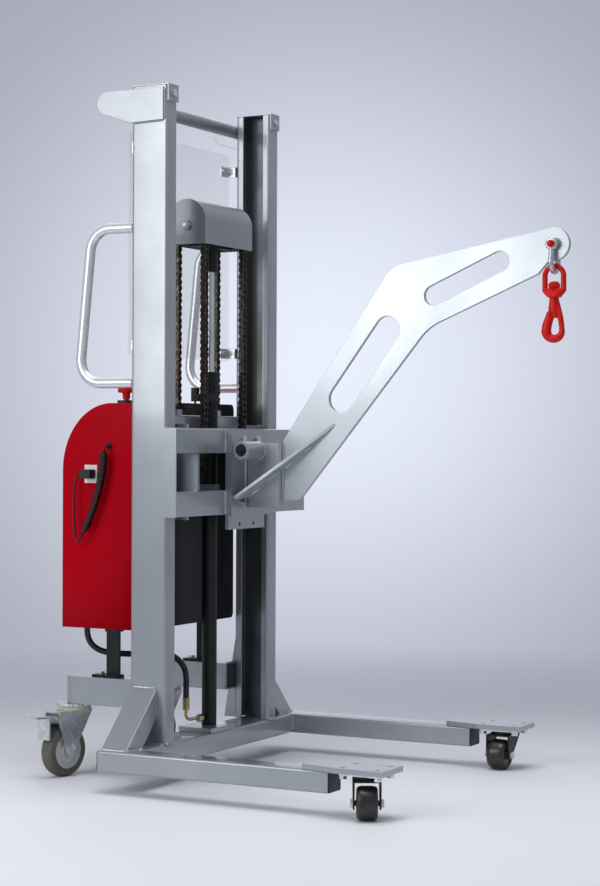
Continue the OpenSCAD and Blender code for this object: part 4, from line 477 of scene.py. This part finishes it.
# Welded steel of the frame, the carriage and the jib, each a CAD shape with rounded edges
STEEL = {
    "base_cross_beam": (2.0, silver_paint), "base_legs": (1.2, silver_paint),
    "mast_braces": (3.0, silver_paint),
    "top_caps": (0.8, silver_paint), "flag_plates": (1.0, silver_paint),
    "top_tie_tube": (0.8, grey_paint), "rear_cross_bar": (1.5, silver_paint), "guard_brackets": (0.7, zinc),
    "rear_arms": (1.6, silver_paint), "housing_brackets": (0.8, black_paint),
    "housing_chassis": (0.7, black_paint),
    "carriage_bars": (1.0, silver_paint), "roller_plates": (1.0, silver_paint),
    "mount_plate": (1.0, silver_paint),
    "jib_base_plate": (1.0, silver_paint), "jib_post": (1.0, silver_paint), "jib_plate": (1.0, jib_paint),
    "jib_ribs": (0.8, silver_paint), "sprocket_cover": (1.2, grey_paint),
    "cylinder_gland": (1.5, black_paint), "piston_rod": (0.8, chrome),
    "sprockets": (0.5, dark_steel), "upper_rollers": (0.5, dark_steel), "lower_rollers": (0.5, dark_steel),
    "jib_bolts": (0.8, zinc), "leg_plugs": (1.0, black_plastic), "guard_panel": (0.8, clear_sheet),
    "lift_rocker": (0.8, black_plastic), "pedal_right": (0.8, zinc), "pedal_left": (0.8, zinc),
    "battery": (3.0, black_plastic), "power_unit": (3.0, dark_steel),
}
for node, (width, material) in STEEL.items():
    eased(node, width, material)
# The faces inside the uprights' channels take the darker paint: painted shade in the channels
eased("uprights", 1.0, [silver_paint, channel_shade_paint],
      lambda at: (abs(abs(at[:, 1]) - SHADED_CHANNEL_MIDDLE) < SHADED_CHANNEL_HALF)
      & (abs(at[:, 0] - UPRIGHT_MIDDLE) < UPRIGHT_HALF))
eased("crosshead", 1.0, [black_paint, grey_paint], lambda at: abs(at[:, 1]) > CROSSHEAD_SIDE)
eased("cylinder_tube", 0.8, [black_paint, silver_paint], lambda at: at[:, 2] < CYLINDER_FOOT_TOP)
eased("caster_plates", 1.0, [silver_paint, zinc],
      lambda at: abs(at[:, 2] - CASTER_PLATE_MIDDLE) > CASTER_PLATE_HALF)
eased("frame_bolts", 0.7, [zinc, black_paint],
      lambda at: (abs(at[:, 1]) > HOUSING_Y / 1000 - 1e-4) & (at[:, 0] < BRACKET_BACK))
eased("panel_fittings", 0.8, [black_plastic, white_plastic],
      lambda at: (at[:, 1] < -HOUSING_Y / 1000 - 1e-4) & (abs(at[:, 2] - SOCKET_MIDDLE) < SOCKET_HALF))


def on_axle(joint):
    """A test of which places lie on a wheel's axle, out past the sides of its yoke."""
    pos, axis = np.array(joint["pos_m"]), np.array(joint["axis"])

    def test(at):
        along = (at - pos) @ axis
        away = np.linalg.norm(at - pos - along[:, None] * axis, axis=1)
        return (away < AXLE_HEAD_RADIUS) & (abs(along) > YOKE_SIDE)

    return test


for side in ("right", "left"):
    eased("yoke_front_" + side, 0.8, [black_paint, zinc], on_axle(joints["roll_front_" + side]))
    eased("yoke_rear_" + side, 0.8, [zinc, ivory_plastic], lambda at: at[:, 2] > RACE_FOOT)


def rounded_run(points, radius, steps=10):
    """A run of straight lines with each corner turned into an arc of one radius."""
    points = np.array(points, float)
    parts = [points[:1]]
    for a, b, c in zip(points, points[1:], points[2:]):
        back, on = (a - b) / np.linalg.norm(a - b), (c - b) / np.linalg.norm(c - b)
        half = math.acos(np.clip(back @ on, -1, 1)) / 2
        middle = b + (back + on) / np.linalg.norm(back + on) * radius / math.sin(half)
        start, end = b + back * radius / math.tan(half), b + on * radius / math.tan(half)
        sweep = math.pi - 2 * half
        t = np.linspace(0, 1, steps + 1)[:, None]
        bend = np.sin((1 - t) * sweep) * (start - middle) + np.sin(t * sweep) * (end - middle)
        parts.append(middle + bend / math.sin(sweep))
    return np.concatenate(parts + [points[-1:]])


def join_shapes(shapes):
    """Several point grids with their faces, as one list of points and one of faces."""
    points, faces, start = [], [], 0
    for grid, quads in shapes:
        flat = np.reshape(grid, (-1, 3))
        points.append(flat)
        faces += [[int(k) + start for k in f] for f in quads]
        start += len(flat)
    return np.concatenate(points), faces


def handle_tubes():
    """A round tube swept along the handle's bent run, on both sides."""
    shapes = []
    for y in (-HANDLE_Y, HANDLE_Y):
        run = rounded_run([
            [-101, y, HANDLE_TOP], [-224, y, HANDLE_TOP], [-261, y, HANDLE_FOOT], [-101, y, HANDLE_FOOT],
        ], 57, 14)
        rings = place(swept(run, 12.5, 40))
        shapes.append((rings, closed_tube(rings)))
    return join_shapes(shapes)


add_piece("handle_tubes", *handle_tubes(), handle_lit_paint, "frame", "silver_paint", ["handles"])


# The housing: one bent sheet with rounded side edges


def add_housing(edge=4.0):
    """The side outline carried across the housing, drawn in along a quarter circle at both side edges."""
    t = np.linspace(0, np.pi / 2, 28)
    curve = np.c_[-190 - 142 * np.sin(t), 747 + 164 * np.cos(t)]
    outline = np.concatenate([[[-105, 911], [-130, 911], [-160, 911]], curve, [[-332, 560], [-332, 361]]])
    way = np.gradient(outline, axis=0)
    inward = np.c_[-way[:, 1], way[:, 0]] / np.linalg.norm(way, axis=1, keepdims=True)
    a = np.linspace(np.pi / 2, 0, 7)
    y = HOUSING_Y - edge + edge * np.sin(a)
    y = np.concatenate([-y, y[::-1]])
    inset = edge * (1 - np.cos(a))
    inset = np.concatenate([inset, inset[::-1]])
    rows = outline[None] + inset[:, None, None] * inward[None]
    grid = np.stack([rows[..., 0], np.broadcast_to(y[:, None], rows.shape[:2]), rows[..., 1]], -1)
    count = grid.shape[1]
    corners = [[-105, -HOUSING_Y, 361], [-105, HOUSING_Y, 361]]
    points = np.concatenate([grid.reshape(-1, 3), corners])
    first, last = list(range(count)), list(range((len(y) - 1) * count, len(y) * count))
    sides = [first + [len(points) - 2], last[::-1] + [len(points) - 1]]
    faces = grid_quads(*grid.shape[:2]).tolist() + sides
    made = add_piece("housing_sheet", place(points), faces, red_paint, "frame", "red_paint",
                     ["housing_shell"])
    wall = made.modifiers.new("sheet", "SOLIDIFY")
    wall.thickness, wall.offset = 0.002, -1
    return made


add_housing()


# Turned pieces: the stop button, the wheels and the axle bolts


def mirrored(half):
    """A profile's half, of radius and height, with its other half below."""
    half = np.array(half, float)
    return np.concatenate([half, half[::-1] * [1, -1]])


def add_ring(name, profile, centre, axis, material, segments=72, **rest):
    """A closed profile of radius and height in millimetres, turned about an axis."""
    rings = turned(np.array(profile, float) / 1000, centre, axis, segments)
    return add_piece(name, rings, grid_quads(*rings.shape[:2], True, True), material, **rest)


add_turned(
    "stop_knob",
    [(7, -14), (7, 11), (9.5, 11.2), (9.5, 22), (10.4, 25), (18.5, 25.6), (20.2, 26.4), (21, 28.2),
     (21, 34), (20.4, 36.2), (18.6, 37.3), (10, 37.9), (0.01, 38)],
    place([-171, -183, 911]), (0, 0, 1), red_plastic, body="stop_button", slot="red_plastic",
    replaces=["stop_button"],
)

REAR_TREAD = mirrored([(43, 14), (43.2, 17), (44, 18), (56, 18), (58.5, 17), (60.6, 14.5), (62, 11),
                       (62.5, 7)])
REAR_RIM = mirrored([
    (6.1, 19), (17.5, 19), (18.7, 18), (19.5, 15.5), (26, 14.6), (27, 13.4), (36, 13.4), (37, 14.6),
    (40.5, 15), (41.6, 17), (43.4, 17),
])
FRONT_TREAD = mirrored([(26, 20), (26.3, 22.4), (27, 23), (31, 23), (33.8, 21.4), (36, 18), (37.2, 13),
                        (37.5, 9)])
FRONT_RIM = mirrored([(6.1, 24), (10.8, 24), (11.4, 23), (12.6, 20.4), (24.4, 20), (25.4, 21.6),
                      (26.2, 21.6)])
for end, tread, rim in (("rear", REAR_TREAD, REAR_RIM), ("front", FRONT_TREAD, FRONT_RIM)):
    for side in ("right", "left"):
        wheel = f"wheel_{end}_{side}"
        roll = joints[f"roll_{end}_{side}"]
        add_ring(f"tyre_{end}_{side}", tread, roll["pos_m"], roll["axis"],
                 tread_rubber if end == "rear" else front_tread, 96, body=wheel, slot=slot_of[wheel],
                 replaces=[wheel])
        add_ring(f"rim_{end}_{side}", rim, roll["pos_m"], roll["axis"],
                 wheel_rim if end == "rear" else front_tread, 72, body=wheel, slot=slot_of[wheel])


AXLE_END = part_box("crosshead")[1][1]
for side, y in (("right", -1), ("left", 1)):
    add_turned("axle_bolt_" + side, [(6.5, -0.5), (6.5, 2.6), (5.6, 3.6), (0.01, 4)],
               place([AXLE[0], 0, AXLE[2]]) + [0, y * AXLE_END, 0], (0, y, 0), zinc, 6, body="crosshead",
               slot="zinc")


# Shackle, swivel eye and hook


def bar_along(points, radius, across, sides=24, flat=1.0, count=96):
    """A bar of changing radius along a smooth curve through points, as rings with flat ends."""
    run = smooth_path(points, count)
    at = np.linspace(0, 1, len(np.atleast_1d(radius)))
    size = np.interp(np.linspace(0, 1, count), at, np.atleast_1d(radius))
    rings = place(swept(run, size, sides, flat, across))
    return rings, closed_tube(rings)


def half_turn(middle, radius, first, second, start=0.0, end=np.pi, count=13):
    """Points on an arc about a middle, between two directions at right angles."""
    a = np.linspace(start, end, count)[:, None]
    return np.array(middle) + radius * (np.cos(a) * np.array(first) + np.sin(a) * np.array(second))


def add_shackle():
    """A round bow below two ears, with the red pin through them."""
    x = EYE[0]
    bow = half_turn([x, 0, 1231], 22.5, (0, -1, 0), (0, 0, -1), count=17)
    run = np.concatenate([[[x, -16.5, 1266], [x, -19, 1250]], bow, [[x, 19, 1250], [x, 16.5, 1266]]])
    shapes = [bar_along(run, 6.5, (1, 0, 0), 24, count=110)]
    ear = mirrored([(8.2, 6), (12.5, 6), (14.4, 4.8), (15, 3)]) / 1000
    for y in (-16.5, 16.5):
        rings = turned(ear, place([x, y, 1271]), (0, 1, 0), 48)
        shapes.append((rings, grid_quads(*rings.shape[:2], True, True)))
    add_piece("shackle_bow", *join_shapes(shapes), galvanised, "shackle", "zinc", ["shackle"])
    add_turned(
        "shackle_pin",
        [(7, -25.5), (8, -24.5), (8, 22.6), (8.6, 22.8), (8.8, 26.6), (8.2, 27.5), (7.6, 28.2), (7, 33),
         (5.4, 35.8), (3.6, 36.5)],
        place(EYE), (0, -1, 0), red_steel, body="shackle", slot="red_steel",
    )


def lofted(sections, x, sides=40, power=2.6):
    """Rounded sections stacked in height: each has a height, half width, half depth and shift in x."""
    z, wide, deep, shift = np.array(sections, float).T
    a = np.linspace(0, 2 * np.pi, sides, endpoint=False)
    c, s = np.cos(a), np.sin(a)
    u, v = np.sign(c) * abs(c) ** (2 / power), np.sign(s) * abs(s) ** (2 / power)
    rings = np.stack([
        x + shift[:, None] + wide[:, None] * u, deep[:, None] * v,
        np.broadcast_to(z[:, None], (len(z), sides)),
    ], -1)
    rings = place(rings)
    return rings, closed_tube(rings)


def hex_rings(middle, across, heights, draw):
    """A hexagonal prism as rings: each height has its own share of the full size."""
    a = np.linspace(0, 2 * np.pi, 48, endpoint=False)
    r = across / 2 / np.cos((a + np.pi / 6) % (np.pi / 3) - np.pi / 6)
    size = np.minimum(r[None, :], np.array(draw)[:, None] * across / 2)
    x, y, z = middle
    rings = np.stack([
        x + size * np.cos(a), y + size * np.sin(a),
        np.broadcast_to(z + np.array(heights)[:, None], size.shape),
    ], -1)
    rings = place(rings)
    return rings, closed_tube(rings)


def add_swivel_eye():
    """A round-bar link with straight sides, on a collar that tapers to the hook's shank."""
    x = EYE[0]
    arch = half_turn([x, 0, 1198.9], 22.5, (-1, 0, 0), (0, 0, 1), count=17)
    run = np.concatenate([[[x - 22.5, 0, 1164], [x - 22.5, 0, 1178]], arch,
                          [[x + 22.5, 0, 1178], [x + 22.5, 0, 1164]]])
    collar = lofted([
        (1171.4, 23, 5.5, 0), (1171, 26.5, 7, 0), (1168.5, 28.3, 8.4, 0), (1164.5, 28.4, 9.6, 0),
        (1160, 25, 11.4, 0), (1153.5, 18.5, 13.6, 0), (1150.4, 15.4, 14.8, 0), (1149.4, 14, 14, 0),
    ], x)
    shapes = [bar_along(run, [6.4, 6, 6, 6, 6.4], (0, 1, 0), 24, count=110), collar]
    add_piece("swivel_link", *join_shapes(shapes), red_steel, "swivel_eye", "red_steel", ["swivel_eye"])


add_shackle()
add_swivel_eye()


def add_hook():
    """The hook's shank and slim side bar, with the nut above the eye, and the jaw's thick back and bowl."""
    x = EYE[0]
    nut = hex_rings([x, 0, 1171.9], 24, [0, 1.5, 8.5, 9.6, 12], [1.06, 1.16, 1.16, 0.98, 0.94])
    shank = lofted([
        (1186, 7, 7, 0), (1150, 8, 8, 0), (1147, 10.6, 11, 0), (1141, 10.8, 11.6, 0),
        (1133, 11.2, 11.8, -0.5),
        (1125, 12, 11.8, -1), (1116, 12.4, 11.4, 0.4), (1109, 9.6, 10.4, 2.2), (1103, 5, 7, 4),
    ], x, power=2.4)
    side_bar = bar_along(
        [[x + 2.5, 0, 1144], [x + 6.5, 0, 1133], [x + 11, 0, 1119], [x + 15.2, 0, 1103],
         [x + 18.7, 0, 1082.0]],
        [7.6, 7.6, 7, 6.6, 6.4], (0, 1, 0), 24, count=60,
    )
    add_piece("hook_shank", *join_shapes([nut, shank, side_bar]), red_steel, "hook_body", "red_steel",
              ["hook_body"])
    bowl = half_turn([x, 0, 1074.4], 19, (-1, 0, 0), (0, 0, -1), 0, np.radians(200.5), 21)
    run = np.concatenate([[[x - 7.5, 0, 1115], [x - 12.4, 0, 1101], [x - 17, 0, 1087]], bowl])
    thick = [9.6, 11.4, 11.6, 10.6, 9.8, 9.4, 9.2, 8.8, 7.8, 6.8, 6.3]
    add_piece("hook_bowl", *bar_along(run, thick, (0, 1, 0), 28, 0.9, 120), red_steel, "hook_jaw",
              "red_steel", ["hook_jaw"])
    add_turned("jaw_rivet", [(3.2, -13.2), (4.2, -12.6), (4.4, -8), (4.4, 8), (4.2, 12.6), (3.2, 13.2)],
               place([x - 8, 0, 1114.9]), (0, 1, 0), red_steel, 32, body="hook_jaw", slot="red_steel")


add_hook()


# Roller chains: pins a pitch apart down the front, round the sprocket and down the rear


def chain_pins():
    """Places of the pins in x and z, from the front run's foot over the sprocket to the rear run's foot."""
    front = int((AXLE[2] - FRONT_CHAIN_FOOT) / CHAIN_PITCH)
    rear = int((AXLE[2] - REAR_CHAIN_FOOT) / CHAIN_PITCH)
    down = np.arange(front, 0, -1) * CHAIN_PITCH
    turn = np.radians(360 / SPROCKET_TEETH * np.arange(PINS_ON_SPROCKET))
    back = (np.arange(rear) + 0.5) * CHAIN_PITCH
    x = np.concatenate([np.full(front, SPROCKET_RADIUS), SPROCKET_RADIUS * np.cos(turn),
                        np.full(rear, -SPROCKET_RADIUS)])
    z = np.concatenate([-down, SPROCKET_RADIUS * np.sin(turn), -back])
    return np.c_[x, z] + AXLE[[0, 2]], front


def link_plate(length, y0, y1, steps=7):
    """A plate waisted between two round ends, between two distances from the chain's middle."""
    a = np.linspace(-np.pi / 2, np.pi / 2, steps)
    end = np.c_[7.2 * np.cos(a) * 0.92, 7.4 * np.sin(a)]
    right = np.c_[length + end[:, 0], end[:, 1]]
    outline = np.concatenate([right, [[length / 2, 5.2]], -end, [[length / 2, -5.2]]])
    n = len(outline)
    rows = np.stack([np.c_[outline[:, 0], np.full(n, y), outline[:, 1]] for y in (y0, y1)])
    return rows, closed_tube(rows)


def link_roller(at, radius, half, sides=12):
    """A short round bar across the chain."""
    rings = turned([(radius, -half), (radius, half)], [at, 0, 0], (0, 1, 0), sides)
    return rings, closed_tube(rings)


def chain_links(pins, first):
    """Links between neighbouring pins, inner and outer in turn, as two shapes repeated along the run."""
    step = np.diff(pins, axis=0)
    length = np.linalg.norm(step, axis=1)
    inner = join_shapes([link_plate(CHAIN_PITCH, s * 5.2, s * 7.0) for s in (-1, 1)]
                        + [link_roller(at, 5.08, 5.1) for at in (0, CHAIN_PITCH)])
    outer = join_shapes([link_plate(CHAIN_PITCH, s * 7.2, s * 9.0) for s in (-1, 1)]
                        + [link_roller(at, 2.5, 10.2, 10) for at in (0, CHAIN_PITCH)])
    shapes = []
    for kind, shape in enumerate((inner, outer)):
        chosen = (np.arange(len(step)) + first) % 2 == kind
        way = step[chosen] / length[chosen][:, None]
        moves = np.zeros((2, chosen.sum(), 4, 4))
        moves[..., 0, 0], moves[..., 2, 0] = way[:, 0], way[:, 1]
        moves[..., 0, 2], moves[..., 2, 2] = -way[:, 1], way[:, 0]
        moves[..., 1, 1] = moves[..., 3, 3] = 1
        moves[..., 0, 3], moves[..., 2, 3] = pins[:-1][chosen].T
        moves[0, :, 1, 3], moves[1, :, 1, 3] = -CHAIN_Y, CHAIN_Y
        points, faces = copies(shape[0], shape[1], moves.reshape(-1, 4, 4))
        shapes.append((place(points), faces))
    return join_shapes(shapes)


def add_chains():
    """The front run, the part over the sprockets and the rear run; only the part over the sprockets follows a
    body, the crosshead.
    """
    pins, front = chain_pins()
    last = front + PINS_ON_SPROCKET
    top = place([0, 0, AXLE[2]])
    run = add_piece("chain_front_links", *chain_links(pins[:front + 1], 0), chain_steel, None, "dark_steel",
                    ["chain_front"], outward=False)
    place([0, 0, FRONT_CHAIN_FOOT])
    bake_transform(run)
    add_piece("chain_top_links", *chain_links(pins[front:last + 1], front), chain_steel, "crosshead",
              "dark_steel", ["chain_wrap"], outward=False)
    run = add_piece("chain_rear_links", *chain_links(pins[last:], last), chain_steel, None, "dark_steel",
                    ["chain_rear"], outward=False)
    place([0, 0, REAR_CHAIN_FOOT])
    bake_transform(run)


add_chains()


# Weld beads


def weld(run, radius=3.0, up=(0.0, 0.0, 1.0)):
    """A rippled bead along a run of points: its radius swells at each step of the torch."""
    run = np.array(run, float)
    length = np.concatenate([[0], np.cumsum(np.linalg.norm(np.diff(run, axis=0), axis=1))])
    count = max(6, int(length[-1] / 1.6))
    at = np.linspace(0, length[-1], count)
    path = np.stack([np.interp(at, length, run[:, k]) for k in range(3)], -1)
    ends = np.clip(np.minimum(at, length[-1] - at) / (1.5 * radius), 0, 1)
    size = 1.1 * radius * (0.45 + 0.55 * np.sqrt(ends)) * (1 + 0.1 * np.sin(at * 2 * np.pi / 4.6))
    along = np.gradient(path, axis=0)
    along /= np.linalg.norm(along, axis=1, keepdims=True)
    side = np.cross(along, up)
    side /= np.linalg.norm(side, axis=1, keepdims=True)
    over = np.cross(side, along)
    a = np.linspace(0, 2 * np.pi, 8, endpoint=False)
    turn = np.cos(a)[None, :, None] * side[:, None] + np.sin(a)[None, :, None] * over[:, None]
    rings = place(path[:, None] + size[:, None, None] * turn)
    return rings, closed_tube(rings)


def circle_run(middle, radius, first, second, start=0.0, end=360.0):
    """Points round a circle, between two angles in degrees."""
    return half_turn(middle, radius, first, second, math.radians(start), math.radians(end), 60)


def frame_welds():
    """Beads where braces, flag plates, handles and arms meet the uprights, and legs meet the beam."""
    beads = []
    for s in (-1, 1):
        face, leg = s * 273.5, s * 361
        beads += [
            weld([[-92, face, 232.5], [-26, face, 232.5]]),
            weld([[-26, face + s, 228], [-26, face + s, 166]], up=(1, 0, 0)),
            weld([[-22.5, s * 336, 100], [-22.5, s * 404, 100]]),
            weld([[-92, s * 406, 100], [-26, s * 406, 100]]),
            weld([[-92, s * 334, 100], [-26, s * 334, 100]]),
            weld([[-10, face, 1579], [-96, face, 1577]]),
            weld([[-8, face, 1582], [-8, face, 1654]], up=(1, 0, 0)),
            weld([[-8, leg, 100], [-90, leg, 100]]), weld([[0.5, leg, 94], [0.5, leg, 56]], up=(1, 0, 0)),
            weld([[-92, face, 100], [-6, face, 100]]), weld([[0, s * 268, 100], [0, s * 232, 100]]),
            weld([[-101, s * 243, 182], [-101, s * 243, 240]], up=(0, 1, 0)),
            weld([[-101, s * 183, 182], [-101, s * 183, 240]], up=(0, 1, 0)),
            weld([[-101, s * 187, 244], [-101, s * 233, 244]]),
        ]
        beads += [
            weld(circle_run([-101, s * HANDLE_Y, z], 13, (0, 1, 0), (0, 0, 1)), 2.4, (1, 0, 0))
            for z in (HANDLE_TOP, HANDLE_FOOT)
        ]
    return join_shapes(beads)


def carriage_welds():
    """Beads round the mount plate, the pin tube, the jib post, the ribs and the foot of the jib plate."""
    slope = math.tan(math.radians(37.4))
    beads = [weld(circle_run([105, -23, 797], 23.5, (1, 0, 0), (0, 0, 1), 138, 402), 3, (0, 1, 0))]
    for s in (-1, 1):
        beads += [
            weld([[55.5, s * 90.5, 642], [55.5, s * 90.5, 699]], 3.6, (1, 0, 0)),
            weld([[55.5, s * 90.5, 791], [55.5, s * 90.5, 848]], 3.6, (1, 0, 0)),
            weld([[73.5, s * 22.5, 660], [73.5, s * 22.5, 812]], 3.4, (1, 0, 0)),
            weld([[169.5, s * 6.5, 678], [169.5, s * 6.5, 812]], 3.4, (1, 0, 0)),
            weld([[73.5, s * 30, 684], [73.5, s * 84, 684]], 3.2),
        ]
        for x0 in (90, 135):
            beads.append(weld([[x0, s * 22.5, 674 + slope * (x0 - 73)],
                               [x0 + 26, s * 22.5, 674 + slope * (x0 - 47)]], 3, (0, 1, 0)))
        for x0 in (176, 226, 272):
            beads.append(weld([[x0, s * 6.5, 674 + slope * (x0 - 73)],
                               [x0 + 24, s * 6.5, 674 + slope * (x0 - 49)]], 3, (0, 1, 0)))
    return join_shapes(beads)


add_piece("frame_weld_beads", *frame_welds(), weld_highlight_paint, "frame", "silver_paint")
add_piece("carriage_weld_beads", *carriage_welds(), weld_highlight_paint, "carriage", "silver_paint")


# Floor, light and background


def add_floor():
    """A pale round floor that fades out towards its rim, so that the background carries on from it; its colour
    darkens towards the back as painted shade.
    """
    rings, sides = 12, 96
    radius = np.linspace(0.5, 6, rings)[:, None]
    a = np.linspace(0, 2 * np.pi, sides, endpoint=False)
    grid = np.stack([radius * np.cos(a), radius * np.sin(a), np.zeros((rings, sides))], -1)
    mesh = bpy.data.meshes.new("floor")
    faces = grid_quads(rings, sides, False, True).tolist() + [list(range(sides))]
    mesh.from_pydata(grid.reshape(-1, 3).tolist(), [], faces)
    material = bpy.data.materials.new("pale_floor")
    material.use_nodes = True
    tree = material.node_tree
    shader = tree.nodes["Principled BSDF"]
    shader.inputs["Roughness"].default_value = 0.6
    shader.inputs["Specular IOR Level"].default_value = 0.25
    where = add_node(tree, "ShaderNodeTexCoord")
    cloud = add_node(tree, "ShaderNodeTexNoise", {"Scale": 1.5, "Detail": 3.0})
    tint = add_node(tree, "ShaderNodeMix", {6: linear("#e9ecf3"), 7: linear("#f0f2f7")}, data_type="RGBA")
    away = add_node(tree, "ShaderNodeVectorMath", operation="LENGTH")
    fade = add_node(tree, "ShaderNodeMapRange",
                    {"From Min": 1.2, "From Max": 3.4, "To Min": 1.0, "To Max": 0.0},
                    interpolation_type="SMOOTHSTEP")
    # The colour darkens further from the camera: painted shade on the floor
    ahead = (-math.sin(CAMERA_YAW), math.cos(CAMERA_YAW), 0.0)
    back = add_node(tree, "ShaderNodeVectorMath", {1: ahead}, operation="DOT_PRODUCT")
    depth = add_node(tree, "ShaderNodeMapRange", {"From Min": -0.5, "From Max": 1.7},
                     interpolation_type="SMOOTHSTEP")
    painted_far_shade = add_node(tree, "ShaderNodeMix", {7: linear("#bcbfcb")}, data_type="RGBA")
    link = tree.links.new
    link(where.outputs["Object"], cloud.inputs["Vector"])
    link(cloud.outputs["Fac"], tint.inputs[0])
    link(where.outputs["Object"], back.inputs[0])
    link(back.outputs["Value"], depth.inputs["Value"])
    link(depth.outputs["Result"], painted_far_shade.inputs[0])
    link(tint.outputs[2], painted_far_shade.inputs[6])
    link(painted_far_shade.outputs[2], shader.inputs["Base Color"])
    link(where.outputs["Object"], away.inputs[0])
    link(away.outputs["Value"], fade.inputs["Value"])
    link(fade.outputs["Result"], shader.inputs["Alpha"])
    mesh.materials.append(material)
    made = bpy.data.objects.new("floor", mesh)
    bpy.context.scene.collection.objects.link(made)


def add_light(name, at, towards, size, watts, colour="#ffffff"):
    """A square soft light at a place, turned towards another."""
    data = bpy.data.lights.new(name, "AREA")
    data.shape, data.size = "SQUARE", size
    data.energy, data.color = watts, linear(colour)[:3]
    made = bpy.data.objects.new(name, data)
    made.location = at
    made.visible_camera = False
    made.rotation_euler = (Vector(towards) - Vector(at)).to_track_quat("-Z", "Y").to_euler()
    bpy.context.scene.collection.objects.link(made)


def set_world():
    """A pale studio: a glow behind the lift for the camera and polished faces, even light for the rest."""
    world = bpy.data.worlds.new("studio")
    bpy.context.scene.world = world
    world.use_nodes = True
    tree = world.node_tree
    tree.nodes.clear()
    where = add_node(tree, "ShaderNodeTexCoord")
    middle = (-math.sin(CAMERA_YAW) + 0.009, math.cos(CAMERA_YAW) + 0.005, 0.04)
    around = add_node(tree, "ShaderNodeMapping", {
        "Location": middle, "Rotation": (0.0, 0.0, CAMERA_YAW), "Scale": (0.248, 1.0, 0.228),
    }, vector_type="TEXTURE")
    near = add_node(tree, "ShaderNodeTexGradient", gradient_type="SPHERICAL")
    glow = add_node(tree, "ShaderNodeMapRange", interpolation_type="SMOOTHSTEP")
    sky = add_node(tree, "ShaderNodeMix", {6: linear("#aaadb9"), 7: linear("#ebf0ff")}, data_type="RGBA")
    seen = add_node(tree, "ShaderNodeBackground", {"Strength": 1.0})
    even = add_node(tree, "ShaderNodeBackground", {"Color": linear("#e9ecf2"), "Strength": 0.3})
    ray = add_node(tree, "ShaderNodeLightPath")
    most = add_node(tree, "ShaderNodeMath", operation="MAXIMUM")
    more = add_node(tree, "ShaderNodeMath", operation="MAXIMUM")
    mix = add_node(tree, "ShaderNodeMixShader")
    out = add_node(tree, "ShaderNodeOutputWorld")
    link = tree.links.new
    link(where.outputs["Generated"], around.inputs["Vector"])
    link(around.outputs["Vector"], near.inputs["Vector"])
    link(near.outputs["Fac"], glow.inputs["Value"])
    link(glow.outputs["Result"], sky.inputs[0])
    link(sky.outputs[2], seen.inputs["Color"])
    link(ray.outputs["Is Camera Ray"], most.inputs[0])
    link(ray.outputs["Is Glossy Ray"], most.inputs[1])
    link(most.outputs[0], more.inputs[0])
    link(ray.outputs["Is Transmission Ray"], more.inputs[1])
    link(more.outputs[0], mix.inputs[0])
    link(even.outputs[0], mix.inputs[1])
    link(seen.outputs[0], mix.inputs[2])
    link(mix.outputs[0], out.inputs["Surface"])


add_floor()
set_world()
add_light("key_light", (-1.25, -2.9, 1.85), (0.0, 0.0, 1.15), 1.9, 37)
add_light("top_light", (0.2, -0.4, 4.2), (0.1, 0.0, 0.0), 2.5, 95)
add_light("rear_light", (-1.6, 2.4, 2.6), (0.0, 0.0, 0.8), 2.2, 14)
bpy.context.scene.view_settings.view_transform = "Standard"

bpy.context.view_layer.update()
